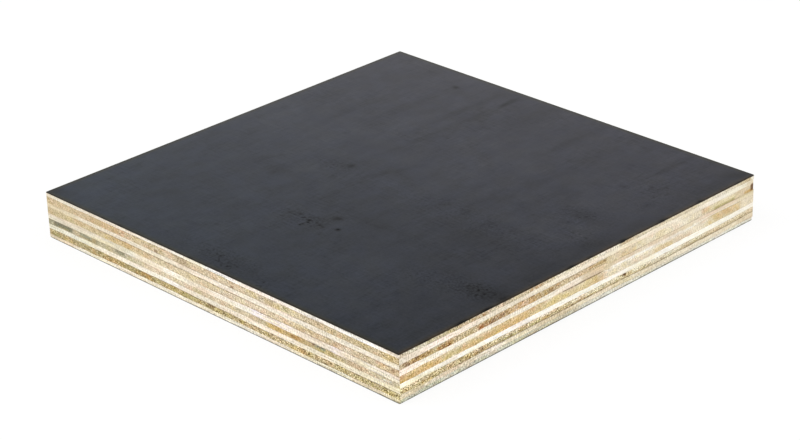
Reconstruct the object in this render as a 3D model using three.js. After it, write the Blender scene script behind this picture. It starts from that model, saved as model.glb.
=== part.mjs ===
// An off-cut of film-faced plywood, lying flat: nine cross-laid veneers between two phenolic films.
// Millimetres, +Z up. The origin is the middle of the underside, and the face grain runs along X.
// Layers are counted from the top, as they show on the sawn edges. The front edge is the one at -Y.
import * as THREE from "three";

// Driving dimensions.
const SHEET_LENGTH = 180; // along X
const SHEET_WIDTH = 180; // along Y
const FILM_THICKNESS = 0.2;
const FACE_VENEER_THICKNESS = 1.3; // sanded thinner than the veneers inside
const CROSSBAND_2_THICKNESS = 2.15;
const LONG_BAND_3_THICKNESS = 2.1;
const CROSSBAND_4_THICKNESS = 2.15;
const CENTRE_VENEER_THICKNESS = 2.65;
const CROSSBAND_6_THICKNESS = 1.9;
const LONG_BAND_7_THICKNESS = 1.95;
const CROSSBAND_8_THICKNESS = 1.9;
const BACK_VENEER_THICKNESS = 1.5;

const SAWN_CORNER_RADIUS = 0.25; // the arris that handling leaves on a sawn corner
const KNOCKED_CORNER_RADIUS = 0.9; // the back veneer, knocked where the sheet has stood on its corner
const WORN_FILM_RADIUS = 1.3; // the brittle film under it has worn further back
const RUBBED_FILM_RADIUS = 0.6; // and is only rubbed at the opposite corner
const BRUISED_CORNER_RADIUS = 0.7; // two inner veneers have crumbled a little at the back right

const SEAM_FROM_FRONT = 99; // long band 3 is laid from two strips, butted along the grain
const SEAM_GAP = 0.35;

const KNOT_FROM_FRONT = 108.5; // a loose knot fell out where the saw passed through it
const KNOT_RADIUS = 0.7;
const KNOT_DEPTH = 0.5; // how far its centre lies inside the sawn edge

const ARC_SEGMENTS = 3;
const STEPS_PER_MM = 4096; // heights sit on a binary grid, so faces that touch hold the same 32-bit number

// Finishes: colour, roughness and metalness of each kind of layer.
const FINISHES = {
  film: { color: 0x41454d, roughness: 0.38, metalness: 0 },
  sandedVeneer: { color: 0xe3d3b5, roughness: 0.82, metalness: 0 },
  crossband: { color: 0xc8a97d, roughness: 0.9, metalness: 0 },
  longBand: { color: 0xeadfc8, roughness: 0.85, metalness: 0 },
};

// Corner radii of a layer, in the order in which its outline passes them.
const CORNERS = ["frontLeft", "frontRight", "backRight", "backLeft"];
const SAWN = Object.fromEntries(CORNERS.map((corner) => [corner, SAWN_CORNER_RADIUS]));
const BRUISED = { ...SAWN, backRight: BRUISED_CORNER_RADIUS };
const KNOCKED = { ...SAWN, backRight: KNOCKED_CORNER_RADIUS };
const WORN = { ...SAWN, frontLeft: RUBBED_FILM_RADIUS, backRight: WORN_FILM_RADIUS };

// The lay-up, top to bottom. A layer with a seam is cut into strips along it.
const LAYERS = [
  { name: "top_film", thickness: FILM_THICKNESS, finish: "film", corners: SAWN },
  { name: "face_veneer_1", thickness: FACE_VENEER_THICKNESS, finish: "sandedVeneer", corners: SAWN },
  { name: "crossband_2", thickness: CROSSBAND_2_THICKNESS, finish: "crossband", corners: BRUISED },
  { name: "long_band_3", thickness: LONG_BAND_3_THICKNESS, finish: "longBand", corners: BRUISED, seam: true },
  { name: "crossband_4", thickness: CROSSBAND_4_THICKNESS, finish: "crossband", corners: SAWN },
  { name: "centre_veneer_5", thickness: CENTRE_VENEER_THICKNESS, finish: "longBand", corners: SAWN },
  { name: "crossband_6", thickness: CROSSBAND_6_THICKNESS, finish: "crossband", corners: SAWN },
  { name: "long_band_7", thickness: LONG_BAND_7_THICKNESS, finish: "longBand", corners: SAWN, knot: true },
  { name: "crossband_8", thickness: CROSSBAND_8_THICKNESS, finish: "crossband", corners: SAWN },
  { name: "back_veneer_9", thickness: BACK_VENEER_THICKNESS, finish: "sandedVeneer", corners: KNOCKED },
  { name: "bottom_film", thickness: FILM_THICKNESS, finish: "film", corners: WORN },
];

const left = -SHEET_LENGTH / 2;
const right = SHEET_LENGTH / 2;
const front = -SHEET_WIDTH / 2;
const back = SHEET_WIDTH / 2;

// Bites a fallen knot's round hole out of the right edge, which the outline follows from front to back.
function addKnotHole(outline) {
  const centreX = right - KNOT_DEPTH;
  const centreY = front + KNOT_FROM_FRONT;
  const openingAngle = Math.acos(KNOT_DEPTH / KNOT_RADIUS);
  outline.lineTo(right, centreY - KNOT_RADIUS * Math.sin(openingAngle));
  outline.absarc(centreX, centreY, KNOT_RADIUS, -openingAngle, openingAngle, true);
}

// The plan outline of a layer between two values of Y: anticlockwise, with each corner rounded.
function layerOutline({ yFrom, yTo, corners, knot }) {
  const outline = new THREE.Shape();
  const quarter = Math.PI / 2;
  const { frontLeft, frontRight, backRight, backLeft } = corners;
  outline.moveTo(left + frontLeft, yFrom);
  outline.lineTo(right - frontRight, yFrom);
  outline.absarc(right - frontRight, yFrom + frontRight, frontRight, -quarter, 0);
  if (knot) addKnotHole(outline);
  outline.lineTo(right, yTo - backRight);
  outline.absarc(right - backRight, yTo - backRight, backRight, 0, quarter);
  outline.lineTo(left + backLeft, yTo);
  outline.absarc(left + backLeft, yTo - backLeft, backLeft, quarter, 2 * quarter);
  outline.lineTo(left, yFrom + frontLeft);
  outline.absarc(left + frontLeft, yFrom + frontLeft, frontLeft, 2 * quarter, 3 * quarter);
  return outline;
}

// The strips of a layer: one over the whole width, or two that butt at the seam.
function layerStrips({ name, corners, knot, seam }) {
  if (!seam) return [{ name, corners, knot, yFrom: front, yTo: back }];
  const seamY = front + SEAM_FROM_FRONT;
  const frontCorners = { ...corners, backLeft: SAWN_CORNER_RADIUS, backRight: SAWN_CORNER_RADIUS };
  const backCorners = { ...corners, frontLeft: SAWN_CORNER_RADIUS, frontRight: SAWN_CORNER_RADIUS };
  return [
    { name: `${name}_front_strip`, corners: frontCorners, knot, yFrom: front, yTo: seamY - SEAM_GAP / 2 },
    { name: `${name}_back_strip`, corners: backCorners, knot, yFrom: seamY + SEAM_GAP / 2, yTo: back },
  ];
}

function onHeightGrid(height) {
  return Math.round(height * STEPS_PER_MM) / STEPS_PER_MM;
}

function stripMesh(strip, underside, top, finish) {
  const geometry = new THREE.ExtrudeGeometry(layerOutline(strip), {
    depth: top - underside,
    bevelEnabled: false,
    curveSegments: ARC_SEGMENTS,
  });
  const mesh = new THREE.Mesh(geometry, new THREE.MeshStandardMaterial(FINISHES[finish]));
  mesh.name = strip.name;
  mesh.position.z = underside;
  return mesh;
}

// Presses the layers together face to face, from the bottom film up.
function buildSheet() {
  const sheet = new THREE.Group();
  let underside = 0;
  for (const layer of [...LAYERS].reverse()) {
    const top = onHeightGrid(underside + layer.thickness);
    for (const strip of layerStrips(layer)) sheet.add(stripMesh(strip, underside, top, layer.finish));
    underside = top;
  }
  return sheet;
}

const group = buildSheet();
export default group;
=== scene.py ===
"""The looks of a square off-cut of film-faced plywood: nine cross-laid veneers between two films."""

import logging
import math
from dataclasses import dataclass, field
from enum import Enum
from functools import cache

import bmesh
import bpy
import numpy as np
from mathutils import Matrix, Vector, noise


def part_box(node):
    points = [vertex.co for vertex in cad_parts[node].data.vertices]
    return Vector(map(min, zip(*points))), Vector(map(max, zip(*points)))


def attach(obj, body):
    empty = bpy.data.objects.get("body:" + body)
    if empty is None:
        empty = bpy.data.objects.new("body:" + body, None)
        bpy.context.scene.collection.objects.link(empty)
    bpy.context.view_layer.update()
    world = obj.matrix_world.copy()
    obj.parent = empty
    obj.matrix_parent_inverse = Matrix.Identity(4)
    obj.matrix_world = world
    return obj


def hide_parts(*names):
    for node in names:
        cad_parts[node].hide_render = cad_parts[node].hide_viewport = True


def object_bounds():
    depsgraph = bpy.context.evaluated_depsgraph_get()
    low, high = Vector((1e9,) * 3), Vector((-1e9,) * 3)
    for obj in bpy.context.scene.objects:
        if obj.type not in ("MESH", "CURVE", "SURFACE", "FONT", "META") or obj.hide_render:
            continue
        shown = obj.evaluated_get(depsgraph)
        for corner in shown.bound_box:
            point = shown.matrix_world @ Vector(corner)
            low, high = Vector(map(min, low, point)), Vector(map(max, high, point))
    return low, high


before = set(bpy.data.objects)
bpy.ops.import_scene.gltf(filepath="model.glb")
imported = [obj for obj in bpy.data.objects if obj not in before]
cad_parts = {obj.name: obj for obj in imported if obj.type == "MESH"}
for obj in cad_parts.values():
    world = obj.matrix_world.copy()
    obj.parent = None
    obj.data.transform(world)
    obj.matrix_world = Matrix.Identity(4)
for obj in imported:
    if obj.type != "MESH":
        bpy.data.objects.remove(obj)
cad_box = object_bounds()

log = logging.getLogger("plywood")

MM = 0.001
HALF_SIDE = cad_box[1].x / MM
SIDE = 2 * HALF_SIDE
THICKNESS = cad_box[1].z / MM

# What each vertex carries for the shaders.
TONE = "tone"
END_GRAIN = "end_grain"
SHEEN = "sheen"
ROUGH = "rough"
SPECKS = "specks"

Colour = tuple[float, float, float]
Socket = bpy.types.NodeSocket

# A noise texture's features are about as long as one step of its coordinates, and its values run from
# about 0.2 to 0.8.
NOISE = {"Scale": 1.0, "Roughness": 0.6}
# What makes a Mix node multiply one colour by another.
MULTIPLIED = {"data_type": "RGBA", "blend_type": "MULTIPLY"}


# -------------------------------------------------------------------------------- helpers


def clamp(value: float, low: float = 0.0, high: float = 1.0) -> float:
    """The value, kept between low and high."""
    return min(max(value, low), high)


@cache
def srgb(code: str) -> Colour:
    """Reads an sRGB hex code as three numbers from 0 to 1, still in sRGB."""
    digits = code.lstrip("#")
    return tuple(int(digits[i : i + 2], 16) / 255 for i in (0, 2, 4))


def linear(colour: str | Colour) -> tuple[float, float, float, float]:
    """Turns an sRGB colour to the linear RGBA that a shader takes.

    Args:
        colour: A hex code, or three sRGB numbers from 0 to 1.

    Returns:
        Linear red, green and blue, and an alpha of 1.
    """
    parts = srgb(colour) if isinstance(colour, str) else colour
    return (*(c / 12.92 if c <= 0.04045 else ((c + 0.055) / 1.055) ** 2.4 for c in parts), 1.0)


def blend(a: Colour, b: Colour, share: float) -> Colour:
    """Mixes share of colour b into colour a."""
    share = clamp(share)
    return tuple(p + (q - p) * share for p, q in zip(a, b))


def shade(colour: Colour, gain: float) -> Colour:
    """Brightens or darkens a colour by a factor, kept within 0 and 1."""
    return tuple(clamp(c * gain) for c in colour)


def raised_cosine(offset: float, reach: float) -> float:
    """A smooth bump of height 1 at offset 0 that falls to 0 at a reach on either side.

    Args:
        offset: How far from the bump's middle.
        reach: How far the bump reaches on either side.

    Returns:
        The height, from 0 to 1.
    """
    if reach <= 0 or abs(offset) >= reach:
        return 0.0
    return 0.5 + 0.5 * math.cos(math.pi * offset / reach)


def plateau(value: float, low: float, high: float, soft: float) -> float:
    """1 between low and high, falling smoothly to 0 within soft outside them.

    Args:
        value: Where to read it.
        low: Where it is 1 from.
        high: Where it is 1 to.
        soft: How far it takes to fall to 0.

    Returns:
        The height, from 0 to 1.
    """
    if low <= value <= high:
        return 1.0
    return raised_cosine(value - (low if value < low else high), soft)


def cleared_tree(owner: bpy.types.Material | bpy.types.World) -> bpy.types.NodeTree:
    """Turns on the owner's node tree and clears it.

    Args:
        owner: The material or world.

    Returns:
        The empty tree.
    """
    owner.use_nodes = True
    owner.node_tree.nodes.clear()
    return owner.node_tree


def add_node(
    tree: bpy.types.NodeTree, kind: str, inputs: dict | None = None, **settings
) -> bpy.types.bpy_prop_collection:
    """Adds one node to a tree.

    Args:
        tree: The node tree.
        kind: The node's type, without "ShaderNode" in front.
        inputs: What its inputs take, sockets or plain values, by the input's name or index.
        settings: The node's own properties.

    Returns:
        The node's outputs.
    """
    node = tree.nodes.new(f"ShaderNode{kind}")
    for name, value in settings.items():
        setattr(node, name, value)
    for name, value in (inputs or {}).items():
        if isinstance(value, Socket):
            tree.links.new(value, node.inputs[name])
        else:
            node.inputs[name].default_value = value
    return node.outputs


# -------------------------------------------------------------------------------- the sheet's form


class Edge(Enum):
    """The four sawn edges, by the way each one faces."""

    FRONT = (0, -1)
    RIGHT = (1, 0)
    BACK = (0, 1)
    LEFT = (-1, 0)


class Grain(Enum):
    """The way a veneer's fibres run."""

    ALONG_X = (Edge.LEFT, Edge.RIGHT)
    ALONG_Y = (Edge.FRONT, Edge.BACK)

    def ends_at(self, edge: Edge) -> bool:
        """Whether the fibres are cut across at an edge, which then shows end grain."""
        return edge in self.value


# How coarse the sawn grain shows on each edge, at its end at -X or -Y and at its other end.
COARSENESS = {
    Edge.FRONT: (0.75, 1.3),
    Edge.RIGHT: (1.35, 0.5),
    Edge.BACK: (0.6, 0.45),
    Edge.LEFT: (0.5, 0.7),
}


class Wood(Enum):
    """The tones that poplar takes in this sheet, in sRGB."""

    MILK = "#fffcf3"
    BLUSH = "#faeefc"
    IVORY = "#fbf5e5"
    CREAM = "#f3e9d3"
    PALE = "#e9dcc2"
    MIST = "#e2dfcd"
    OAT = "#ded0b3"
    STRAW = "#d8c99c"
    TAN = "#d1bd9a"
    SAND = "#c7b28c"
    DRAB = "#b7a47a"
    GOLD = "#cba765"
    OCHRE = "#b08a4e"
    ROSE = "#deb99b"
    RUST = "#98612a"
    BARK = "#5e4028"
    OLIVE = "#9d9058"
    SAGE = "#b2ab8c"
    STONE = "#7d7962"
    TEAL = "#7f9085"
    PITCH = "#1e1811"


@dataclass(frozen=True)
class RimPlace:
    """A place on the sheet's rim: the edge, and the run along it in mm from its end at -X or -Y."""

    edge: Edge
    run: float


def rim_place(x: float, y: float) -> RimPlace:
    """The edge that a point of the rim lies on, and its run along that edge.

    Args:
        x: The point's X in mm.
        y: The point's Y in mm.

    Returns:
        The edge and the run along it.
    """
    if abs(x) > abs(y):
        return RimPlace(Edge.RIGHT if x > 0 else Edge.LEFT, y + HALF_SIDE)
    return RimPlace(Edge.BACK if y > 0 else Edge.FRONT, x + HALF_SIDE)


class OnEdge:
    """Something that lies along one sawn edge; only the front and the right one have marks of their own."""

    @classmethod
    def rows(cls, front: tuple = (), right: tuple = ()) -> tuple:
        """Several of them, from rows of their values after the edge."""
        placed = ((Edge.FRONT, front), (Edge.RIGHT, right))
        return tuple(cls(edge, *row) for edge, rows in placed for row in rows)


@dataclass(frozen=True)
class Stretch(OnEdge):
    """A stretch of one edge, from start to end in mm, that fades out over soft mm at both ends."""

    edge: Edge
    start: float
    end: float
    strength: float
    soft: float = 3.0

    def at(self, place: RimPlace) -> float:
        """The strength at a place on the rim.

        Args:
            place: The place on the rim.

        Returns:
            The strength, 0 away from the stretch.
        """
        if place.edge is not self.edge:
            return 0.0
        return self.strength * plateau(place.run, self.start, self.end, self.soft)


@dataclass(frozen=True)
class GlueLine:
    """The wavy joint between two layers.

    level is its depth in mm under the top face, and drops are the stretches where it lies deeper, or
    higher if they are negative. On the right edge it drops by seam_drop past the seam. It wavers by about
    waver mm, and it shows dark over width mm on each side, most of all where the glue has bled.
    """

    level: float
    drops: tuple[Stretch, ...] = ()
    bled: tuple[Stretch, ...] = ()
    seam_drop: float = 0.0
    waver: float = 0.06
    width: float = 0.24
    tone: str = "#5c452b"

    # The seam in the third veneer, in mm along the right edge, and how far before it the drop begins.
    SEAM_RUN = 99.0
    SEAM_LEAD = 1.0
    SEAM_SOFT = 3.0
    # Waves per mm of the waver, and of the wider wander on the two edges that have no drops of their own.
    WAVER_PITCH = 0.22
    WANDER_PITCH = 0.025
    WANDER = 0.8
    # How near a corner, in mm, a line comes back to its level.
    CORNER_FADE = 8.0
    # Within this many mm of the rim a point belongs to its edge.
    RIM_BAND = 2.0
    # How dark the glue shows where it hasn't bled, and how unevenly it shows.
    SHOWS = 0.07
    BROKEN_PITCH = 0.6

    def depth(self, place: RimPlace) -> float:
        """The depth under the top face at a place on the rim, in mm.

        Args:
            place: The place on the rim.

        Returns:
            The depth in mm.
        """
        depth = self.level + sum(drop.at(place) for drop in self.drops)
        if self.seam_drop and place.edge is Edge.RIGHT:
            before = plateau(place.run, 0, self.SEAM_RUN - self.SEAM_LEAD, self.SEAM_SOFT)
            depth += self.seam_drop * (1 - before)
        if self.waver:
            fade = min(place.run, SIDE - place.run, self.CORNER_FADE) / self.CORNER_FADE
            seed = self.level * 7 + 31 * (place.edge.value[0] + 2 * place.edge.value[1])
            depth += self.waver * fade * 2 * noise.noise(Vector((place.run * self.WAVER_PITCH, seed, 0)))
            if place.edge in (Edge.BACK, Edge.LEFT):
                depth += self.WANDER * fade * noise.noise(Vector((place.run * self.WANDER_PITCH, seed, 5)))
        return depth

    def height(self, x: float, y: float) -> float:
        """The height over the underside at a point in mm: on the rim, or on a seam that runs along X.

        Args:
            x: The point's X in mm.
            y: The point's Y in mm.

        Returns:
            The height in mm.
        """
        if max(abs(x), abs(y)) > HALF_SIDE - self.RIM_BAND:
            return THICKNESS - self.depth(rim_place(x, y))
        right = self.depth(RimPlace(Edge.RIGHT, y + HALF_SIDE))
        left = self.depth(RimPlace(Edge.LEFT, y + HALF_SIDE))
        return THICKNESS - (left + (right - left) * (x + HALF_SIDE) / SIDE)

    def darkness(self, place: RimPlace) -> float:
        """How dark the glue shows at a place, from 0 to 1: a little everywhere, more where it has bled."""
        broken = 0.9 + 0.8 * noise.noise(Vector((place.run * self.BROKEN_PITCH, self.level, 0)))
        return clamp((self.SHOWS + sum(stretch.at(place) for stretch in self.bled)) * broken)


def underside(node: str) -> float:
    """How deep the underside of a CAD layer lies below the top face, in mm."""
    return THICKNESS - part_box(node)[0].z / MM


# The joints between the layers, from the one under the top film down.
GLUE_LINES = (
    GlueLine(
        underside("top_film"),
        waver=0.0,
        width=0.14,
        tone="#2c2012",
        bled=tuple(Stretch(edge, 0, 180, 0.9) for edge in Edge),
    ),
    GlueLine(
        underside("face_veneer_1"),
        Stretch.rows(
            front=((0, 5, 0.15, 20), (60, 75, -0.1, 20), (110, 165, 0.2, 20)),
            right=((0, 45, 0.15, 20), (75, 110, -0.1, 15)),
        ),
        Stretch.rows(front=((48, 140, 0.2, 10),), right=((0, 60, 0.15, 10),)),
    ),
    GlueLine(
        underside("crossband_2"),
        Stretch.rows(
            front=((0, 180, 0.35), (0, 5, 0.1, 20), (95, 120, 0.1, 20)),
            right=((0, 3, 0.25, 20), (60, 180, -0.35, 40), (95, 125, -0.15, 25)),
        ),
        Stretch.rows(front=((60, 115, 0.3, 6), (130, 160, 0.2, 6)), right=((60, 98, 0.25, 8),)),
    ),
    GlueLine(
        underside("long_band_3_front_strip"),
        Stretch.rows(
            front=((0, 3, 0.1, 15), (20, 45, -0.15, 15), (75, 165, 0.2, 25), (100, 140, 0.15, 25)),
            right=((22, 34, 0.2, 15), (92, 180, -0.75, 32)),
        ),
        Stretch.rows(
            front=((34, 112, 0.5, 8), (140, 180, 0.3, 8)),
            right=((110, 146, 0.2, 6), (156, 170, 0.3, 4)),
        ),
        seam_drop=0.9,
    ),
    GlueLine(
        underside("crossband_4"),
        Stretch.rows(
            front=((0, 2, 0.35, 18), (70, 180, 0.35, 25), (82, 95, 0.3, 20)),
            right=((45, 96, -0.35, 30), (154, 180, -0.5, 10), (156, 162, -0.25, 8)),
        ),
        Stretch.rows(front=((94, 180, 0.35, 8),), right=((78, 96, 0.9, 2), (156, 171, 0.15, 3))),
        seam_drop=0.45,
    ),
    GlueLine(
        underside("centre_veneer_5"),
        Stretch.rows(
            front=((15, 55, -0.3, 25), (80, 180, 0.1, 20)),
            right=((0, 3, 0.15, 12), (110, 160, 0.4, 35)),
        ),
        Stretch.rows(front=((0, 46, 0.2, 6), (138, 146, 0.4, 2))),
    ),
    GlueLine(
        underside("crossband_6"),
        Stretch.rows(
            front=((0, 2, 0.1, 15), (20, 65, -0.2, 20), (115, 150, 0.15, 25)),
            right=((20, 45, -0.15, 25), (125, 160, 0.5, 25)),
        ),
        Stretch.rows(right=((20, 60, 0.15, 8),)),
    ),
    GlueLine(
        underside("long_band_7"),
        Stretch.rows(
            front=((15, 65, -0.3, 20), (115, 125, 0.15, 15)),
            right=((0, 15, 0.25, 20), (125, 162, 0.4, 20)),
        ),
        Stretch.rows(
            front=((50, 100, 0.45, 8), (112, 124, 0.5, 4), (160, 178, 0.4, 6)),
            right=((26, 106, 0.55, 5), (110, 180, 0.55, 4)),
        ),
    ),
    GlueLine(
        underside("crossband_8"),
        Stretch.rows(
            front=((0, 20, 0.3, 25), (115, 180, 0.2, 20)),
            right=((0, 3, 0.2, 12), (15, 100, -0.2, 15), (122, 180, 0.3, 15)),
        ),
    ),
    GlueLine(
        underside("back_veneer_9"),
        Stretch.rows(right=((45, 135, -0.1, 45),)),
        Stretch.rows(
            front=((70, 180, 0.1, 30), (143, 145, 0.5, 1)),
            right=(
                (0, 180, 0.9, 6), (4, 7, 0.5, 1), (10, 12.5, 0.6, 1), (17, 21, 0.5, 2), (25, 35, 0.5, 2),
                (62, 72, 0.6, 3), (88, 96, 0.6, 2), (142, 152, 0.6, 3),
            ),
        ),
        waver=0.0,
        width=0.45,
        tone="#2d2d22",
    ),
)


@dataclass(frozen=True)
class Chip:
    """A bite out of a sawn edge, in mm; low and high are shares of the layer's own thickness."""

    edge: Edge
    centre: float
    width: float
    depth: float
    low: float = 0.0
    high: float = 1.0

    SOFT = 0.12

    def at(self, place: RimPlace, share: float) -> float:
        """How deep the bite is at a place and a share of the layer's height, in mm.

        Args:
            place: The place on the rim.
            share: The share of the layer's height, from 0 at its underside to 1 at its top.

        Returns:
            The depth in mm, 0 away from the bite.
        """
        if place.edge is not self.edge:
            return 0.0
        across = raised_cosine(place.run - self.centre, self.width / 2)
        return self.depth * math.sqrt(across) * plateau(share, self.low, self.high, self.SOFT)


@dataclass(frozen=True)
class Stain(OnEdge):
    """A stretch of an edge where a veneer has another colour.

    start, end and soft are in mm, low and high are shares of the layer's thickness, and specks is the size
    in mm of the flecks that the stain is broken into, or 0 for an even stain.
    """

    edge: Edge
    start: float
    end: float
    wood: Wood
    strength: float = 1.0
    soft: float = 5.0
    low: float = 0.0
    high: float = 1.0
    specks: float = 0.0

    # How softly a stain ends towards its low and high, and how sharply its flecks are cut out.
    SHARE_SOFT = 0.22
    SPECK_CONTRAST = 3.6

    def at(self, place: RimPlace, share: float, spot: Vector) -> float:
        """How strongly the stain shows at a place and a share of the layer's height.

        Args:
            place: The place on the rim.
            share: The share of the layer's height, from 0 at its underside to 1 at its top.
            spot: The place in the sheet, in mm.

        Returns:
            The strength, from 0 to 1.
        """
        if place.edge is not self.edge or not self.start - self.soft < place.run < self.end + self.soft:
            return 0.0
        amount = self.strength * plateau(place.run, self.start, self.end, self.soft)
        amount *= plateau(share, self.low, self.high, self.SHARE_SOFT)
        if self.specks:
            fleck = noise.noise(spot / self.specks + Vector((self.start, 0, 3)))
            amount *= clamp(0.5 + self.SPECK_CONTRAST * fleck)
        return amount


# -------------------------------------------------------------------------------- finishes


@dataclass(frozen=True)
class SawnPoplarVeneer:
    """Rotary-cut poplar veneer, cut through by a saw.

    Across the fibres it is porous and dull, with dark vessels and slanting lathe checks. Along them it is
    paler, with long fine streaks. The saw's teeth have scratched it upright. The layer's own colour, its
    stains and its glue lines come with the mesh.
    """

    grain: Grain
    mottle: float = 0.5
    pores: float = 0.5
    checks: float = 0.3
    check_spacing: float = 0.8
    streaks: float = 0.5
    saw: float = 0.55
    hue: float = 0.5
    fibre: float = 0.55

    # Sizes of features in mm, across the fibres and along them. Single fibres are too fine to see, so they
    # are drawn about 0.5 mm wide, and vessels, which are 0.1 mm wide, are drawn as pores of 0.3 mm.
    BUNDLE = (1.8, 9.0)
    FIBRE_LENGTH = 7.0
    HEARTWOOD = (6.0, 24.0)
    PORE_CELL = (1.0, 8.0)
    # The growth rings lie flat in a peeled veneer, so on a cut end each feature is wider than it is high.
    RING_FLATNESS = 0.6
    # The saw's teeth leave upright lines; theirs are 0.1 mm apart, these 0.5 mm, and 1 mm high.
    SAW_LINE = (0.5, 0.5, 1.0)
    # How far lathe checks lean over, how deep they are in mm, and how many there are to a metre of grain.
    CHECK_LEAN = math.radians(64)
    CHECK_DEPTH = 2.6
    CHECKS_ALONG = 60

    def material(self, name: str) -> bpy.types.Material:
        """Builds the material for one layer.

        Args:
            name: The material's name.

        Returns:
            The material, which reads the mesh's tone, end_grain and rough attributes.
        """
        made = bpy.data.materials.new(name)
        tree = cleared_tree(made)
        place = add_node(tree, "TexCoord")["Object"]
        tone = add_node(tree, "Attribute", attribute_name=TONE)["Color"]
        cut_across = add_node(tree, "Attribute", attribute_name=END_GRAIN)["Fac"]
        rough = add_node(tree, "Attribute", attribute_name=ROUGH)["Fac"]

        # The grain is lightness rather than hue, so it swings along a greyer tone than the wood's own.
        uneven = self.unevenness(tree, place, cut_across)
        swing = add_node(tree, "Math", {0: uneven, 1: rough}, operation="MULTIPLY")[0]
        greyer = add_node(tree, "HueSaturation", {"Saturation": 0.6, "Color": tone})[0]
        grain = add_node(tree, "VectorMath", {0: greyer, "Scale": swing}, operation="SCALE")[0]
        brushed = add_node(tree, "VectorMath", {0: tone, 1: grain}, operation="ADD")[0]

        ends = {"To Min": 0.6 * self.hue, "To Max": 0.8 * self.hue}
        hue = add_node(tree, "MapRange", {"Value": cut_across, **ends})[0]
        tinting = add_node(tree, "Math", {0: hue, 1: rough}, operation="MULTIPLY")[0]
        tint = self.tint(tree, place)
        tinted = add_node(tree, "Mix", {0: tinting, 6: brushed, 7: tint}, **MULTIPLIED)[2]

        pores = self.pore_share(tree, place, cut_across)
        dark_pores = add_node(tree, "Math", {0: pores, 1: rough}, operation="MULTIPLY")[0]
        brown = linear("#94734c")
        pored = add_node(tree, "Mix", {0: dark_pores, 6: tinted, 7: brown}, **MULTIPLIED)[2]

        cracks = self.check_share(tree, place)
        cut_cracks = add_node(tree, "Math", {0: cracks, 1: cut_across}, operation="MULTIPLY")[0]
        dark_checks = add_node(tree, "Math", {0: cut_cracks, 1: rough}, operation="MULTIPLY")[0]
        olive = linear("#85703f")
        checked = add_node(tree, "Mix", {0: dark_checks, 6: pored, 7: olive}, **MULTIPLIED)[2]

        hollows = add_node(tree, "Math", {0: dark_pores, 1: dark_checks}, operation="ADD")[0]
        relief = add_node(tree, "Math", {0: swing, 1: hollows}, operation="SUBTRACT")[0]
        bump = add_node(tree, "Bump", {"Strength": 0.7, "Distance": 0.1 * MM, "Height": relief})[0]
        gloss = {"Roughness": 0.82, "IOR": 1.5, "Specular IOR Level": 0.25}
        surface = add_node(tree, "BsdfPrincipled", {**gloss, "Base Color": checked, "Normal": bump})[0]
        add_node(tree, "OutputMaterial", {"Surface": surface})
        return made

    def unevenness(self, tree: bpy.types.NodeTree, place: Socket, cut_across: Socket) -> Socket:
        """How light a spot is: mottled on a cut end, streaky along a side, and scratched by the saw.

        Args:
            tree: The material's node tree.
            place: The object coordinates.
            cut_across: The share of end grain, 1 on a cut end and 0 along a side.

        Returns:
            A value that swings about zero.
        """
        bundles = self.centred(tree, self.grain_noise(tree, place, self.BUNDLE, 3.0), 0.26)
        fibre = (self.fibre, self.FIBRE_LENGTH)
        fibres = self.centred(tree, self.grain_noise(tree, place, fibre, 1.0), 3.5)
        grainy = add_node(tree, "Math", {0: bundles, 1: fibres}, operation="ADD")[0]
        ends = {"To Min": 0.5 * self.streaks, "To Max": self.mottle}
        spread = add_node(tree, "MapRange", {"Value": cut_across, **ends})[0]
        grained = add_node(tree, "Math", {0: grainy, 1: spread}, operation="MULTIPLY")[0]
        scale = Vector([1 / size for size in self.SAW_LINE]) / MM
        lines = add_node(tree, "Mapping", {"Vector": place, "Scale": scale})[0]
        scratches = add_node(tree, "TexNoise", {**NOISE, "Vector": lines, "Detail": 1.0})["Fac"]
        sawn = self.centred(tree, scratches, self.saw)
        return add_node(tree, "Math", {0: grained, 1: sawn}, operation="ADD")[0]

    def tint(self, tree: bpy.types.NodeTree, place: Socket) -> Socket:
        """Heartwood and mineral colour, which turn the wood pinkish or golden.

        Args:
            tree: The material's node tree.
            place: The object coordinates.

        Returns:
            A colour to multiply the wood's by.
        """
        warmth = self.grain_noise(tree, place, self.HEARTWOOD, 2.0)
        colour = add_node(tree, "ValToRGB", {"Fac": warmth})[0]
        stops = colour.node.color_ramp.elements
        stops[0].position, stops[0].color = 0.34, linear("#fee0d0")
        stops[1].position, stops[1].color = 0.66, linear("#fbf3c2")
        stops.new(0.5).color = linear("#ffffff")
        return colour

    def pore_share(self, tree: bpy.types.NodeTree, place: Socket, cut_across: Socket) -> Socket:
        """How much of a pore a spot holds; a side shows fewer of them than a cut end.

        Args:
            tree: The material's node tree.
            place: The object coordinates.
            cut_across: The share of end grain, 1 on a cut end and 0 along a side.

        Returns:
            A value from 0 to the strength of the pores.
        """
        scale = self.grain_scale(self.PORE_CELL)
        cells = add_node(tree, "Mapping", {"Vector": place, "Scale": scale})[0]
        far = add_node(tree, "TexVoronoi", {"Scale": 1.0, "Vector": cells})["Distance"]
        span = {"From Min": 0.12, "From Max": 0.38, "To Min": 1.0, "To Max": 0.0}
        pore = add_node(tree, "MapRange", {"Value": far, **span})[0]
        ends = {"To Min": 0.25 * self.pores, "To Max": self.pores}
        share = add_node(tree, "MapRange", {"Value": cut_across, **ends})[0]
        return add_node(tree, "Math", {0: pore, 1: share}, operation="MULTIPLY")[0]

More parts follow.
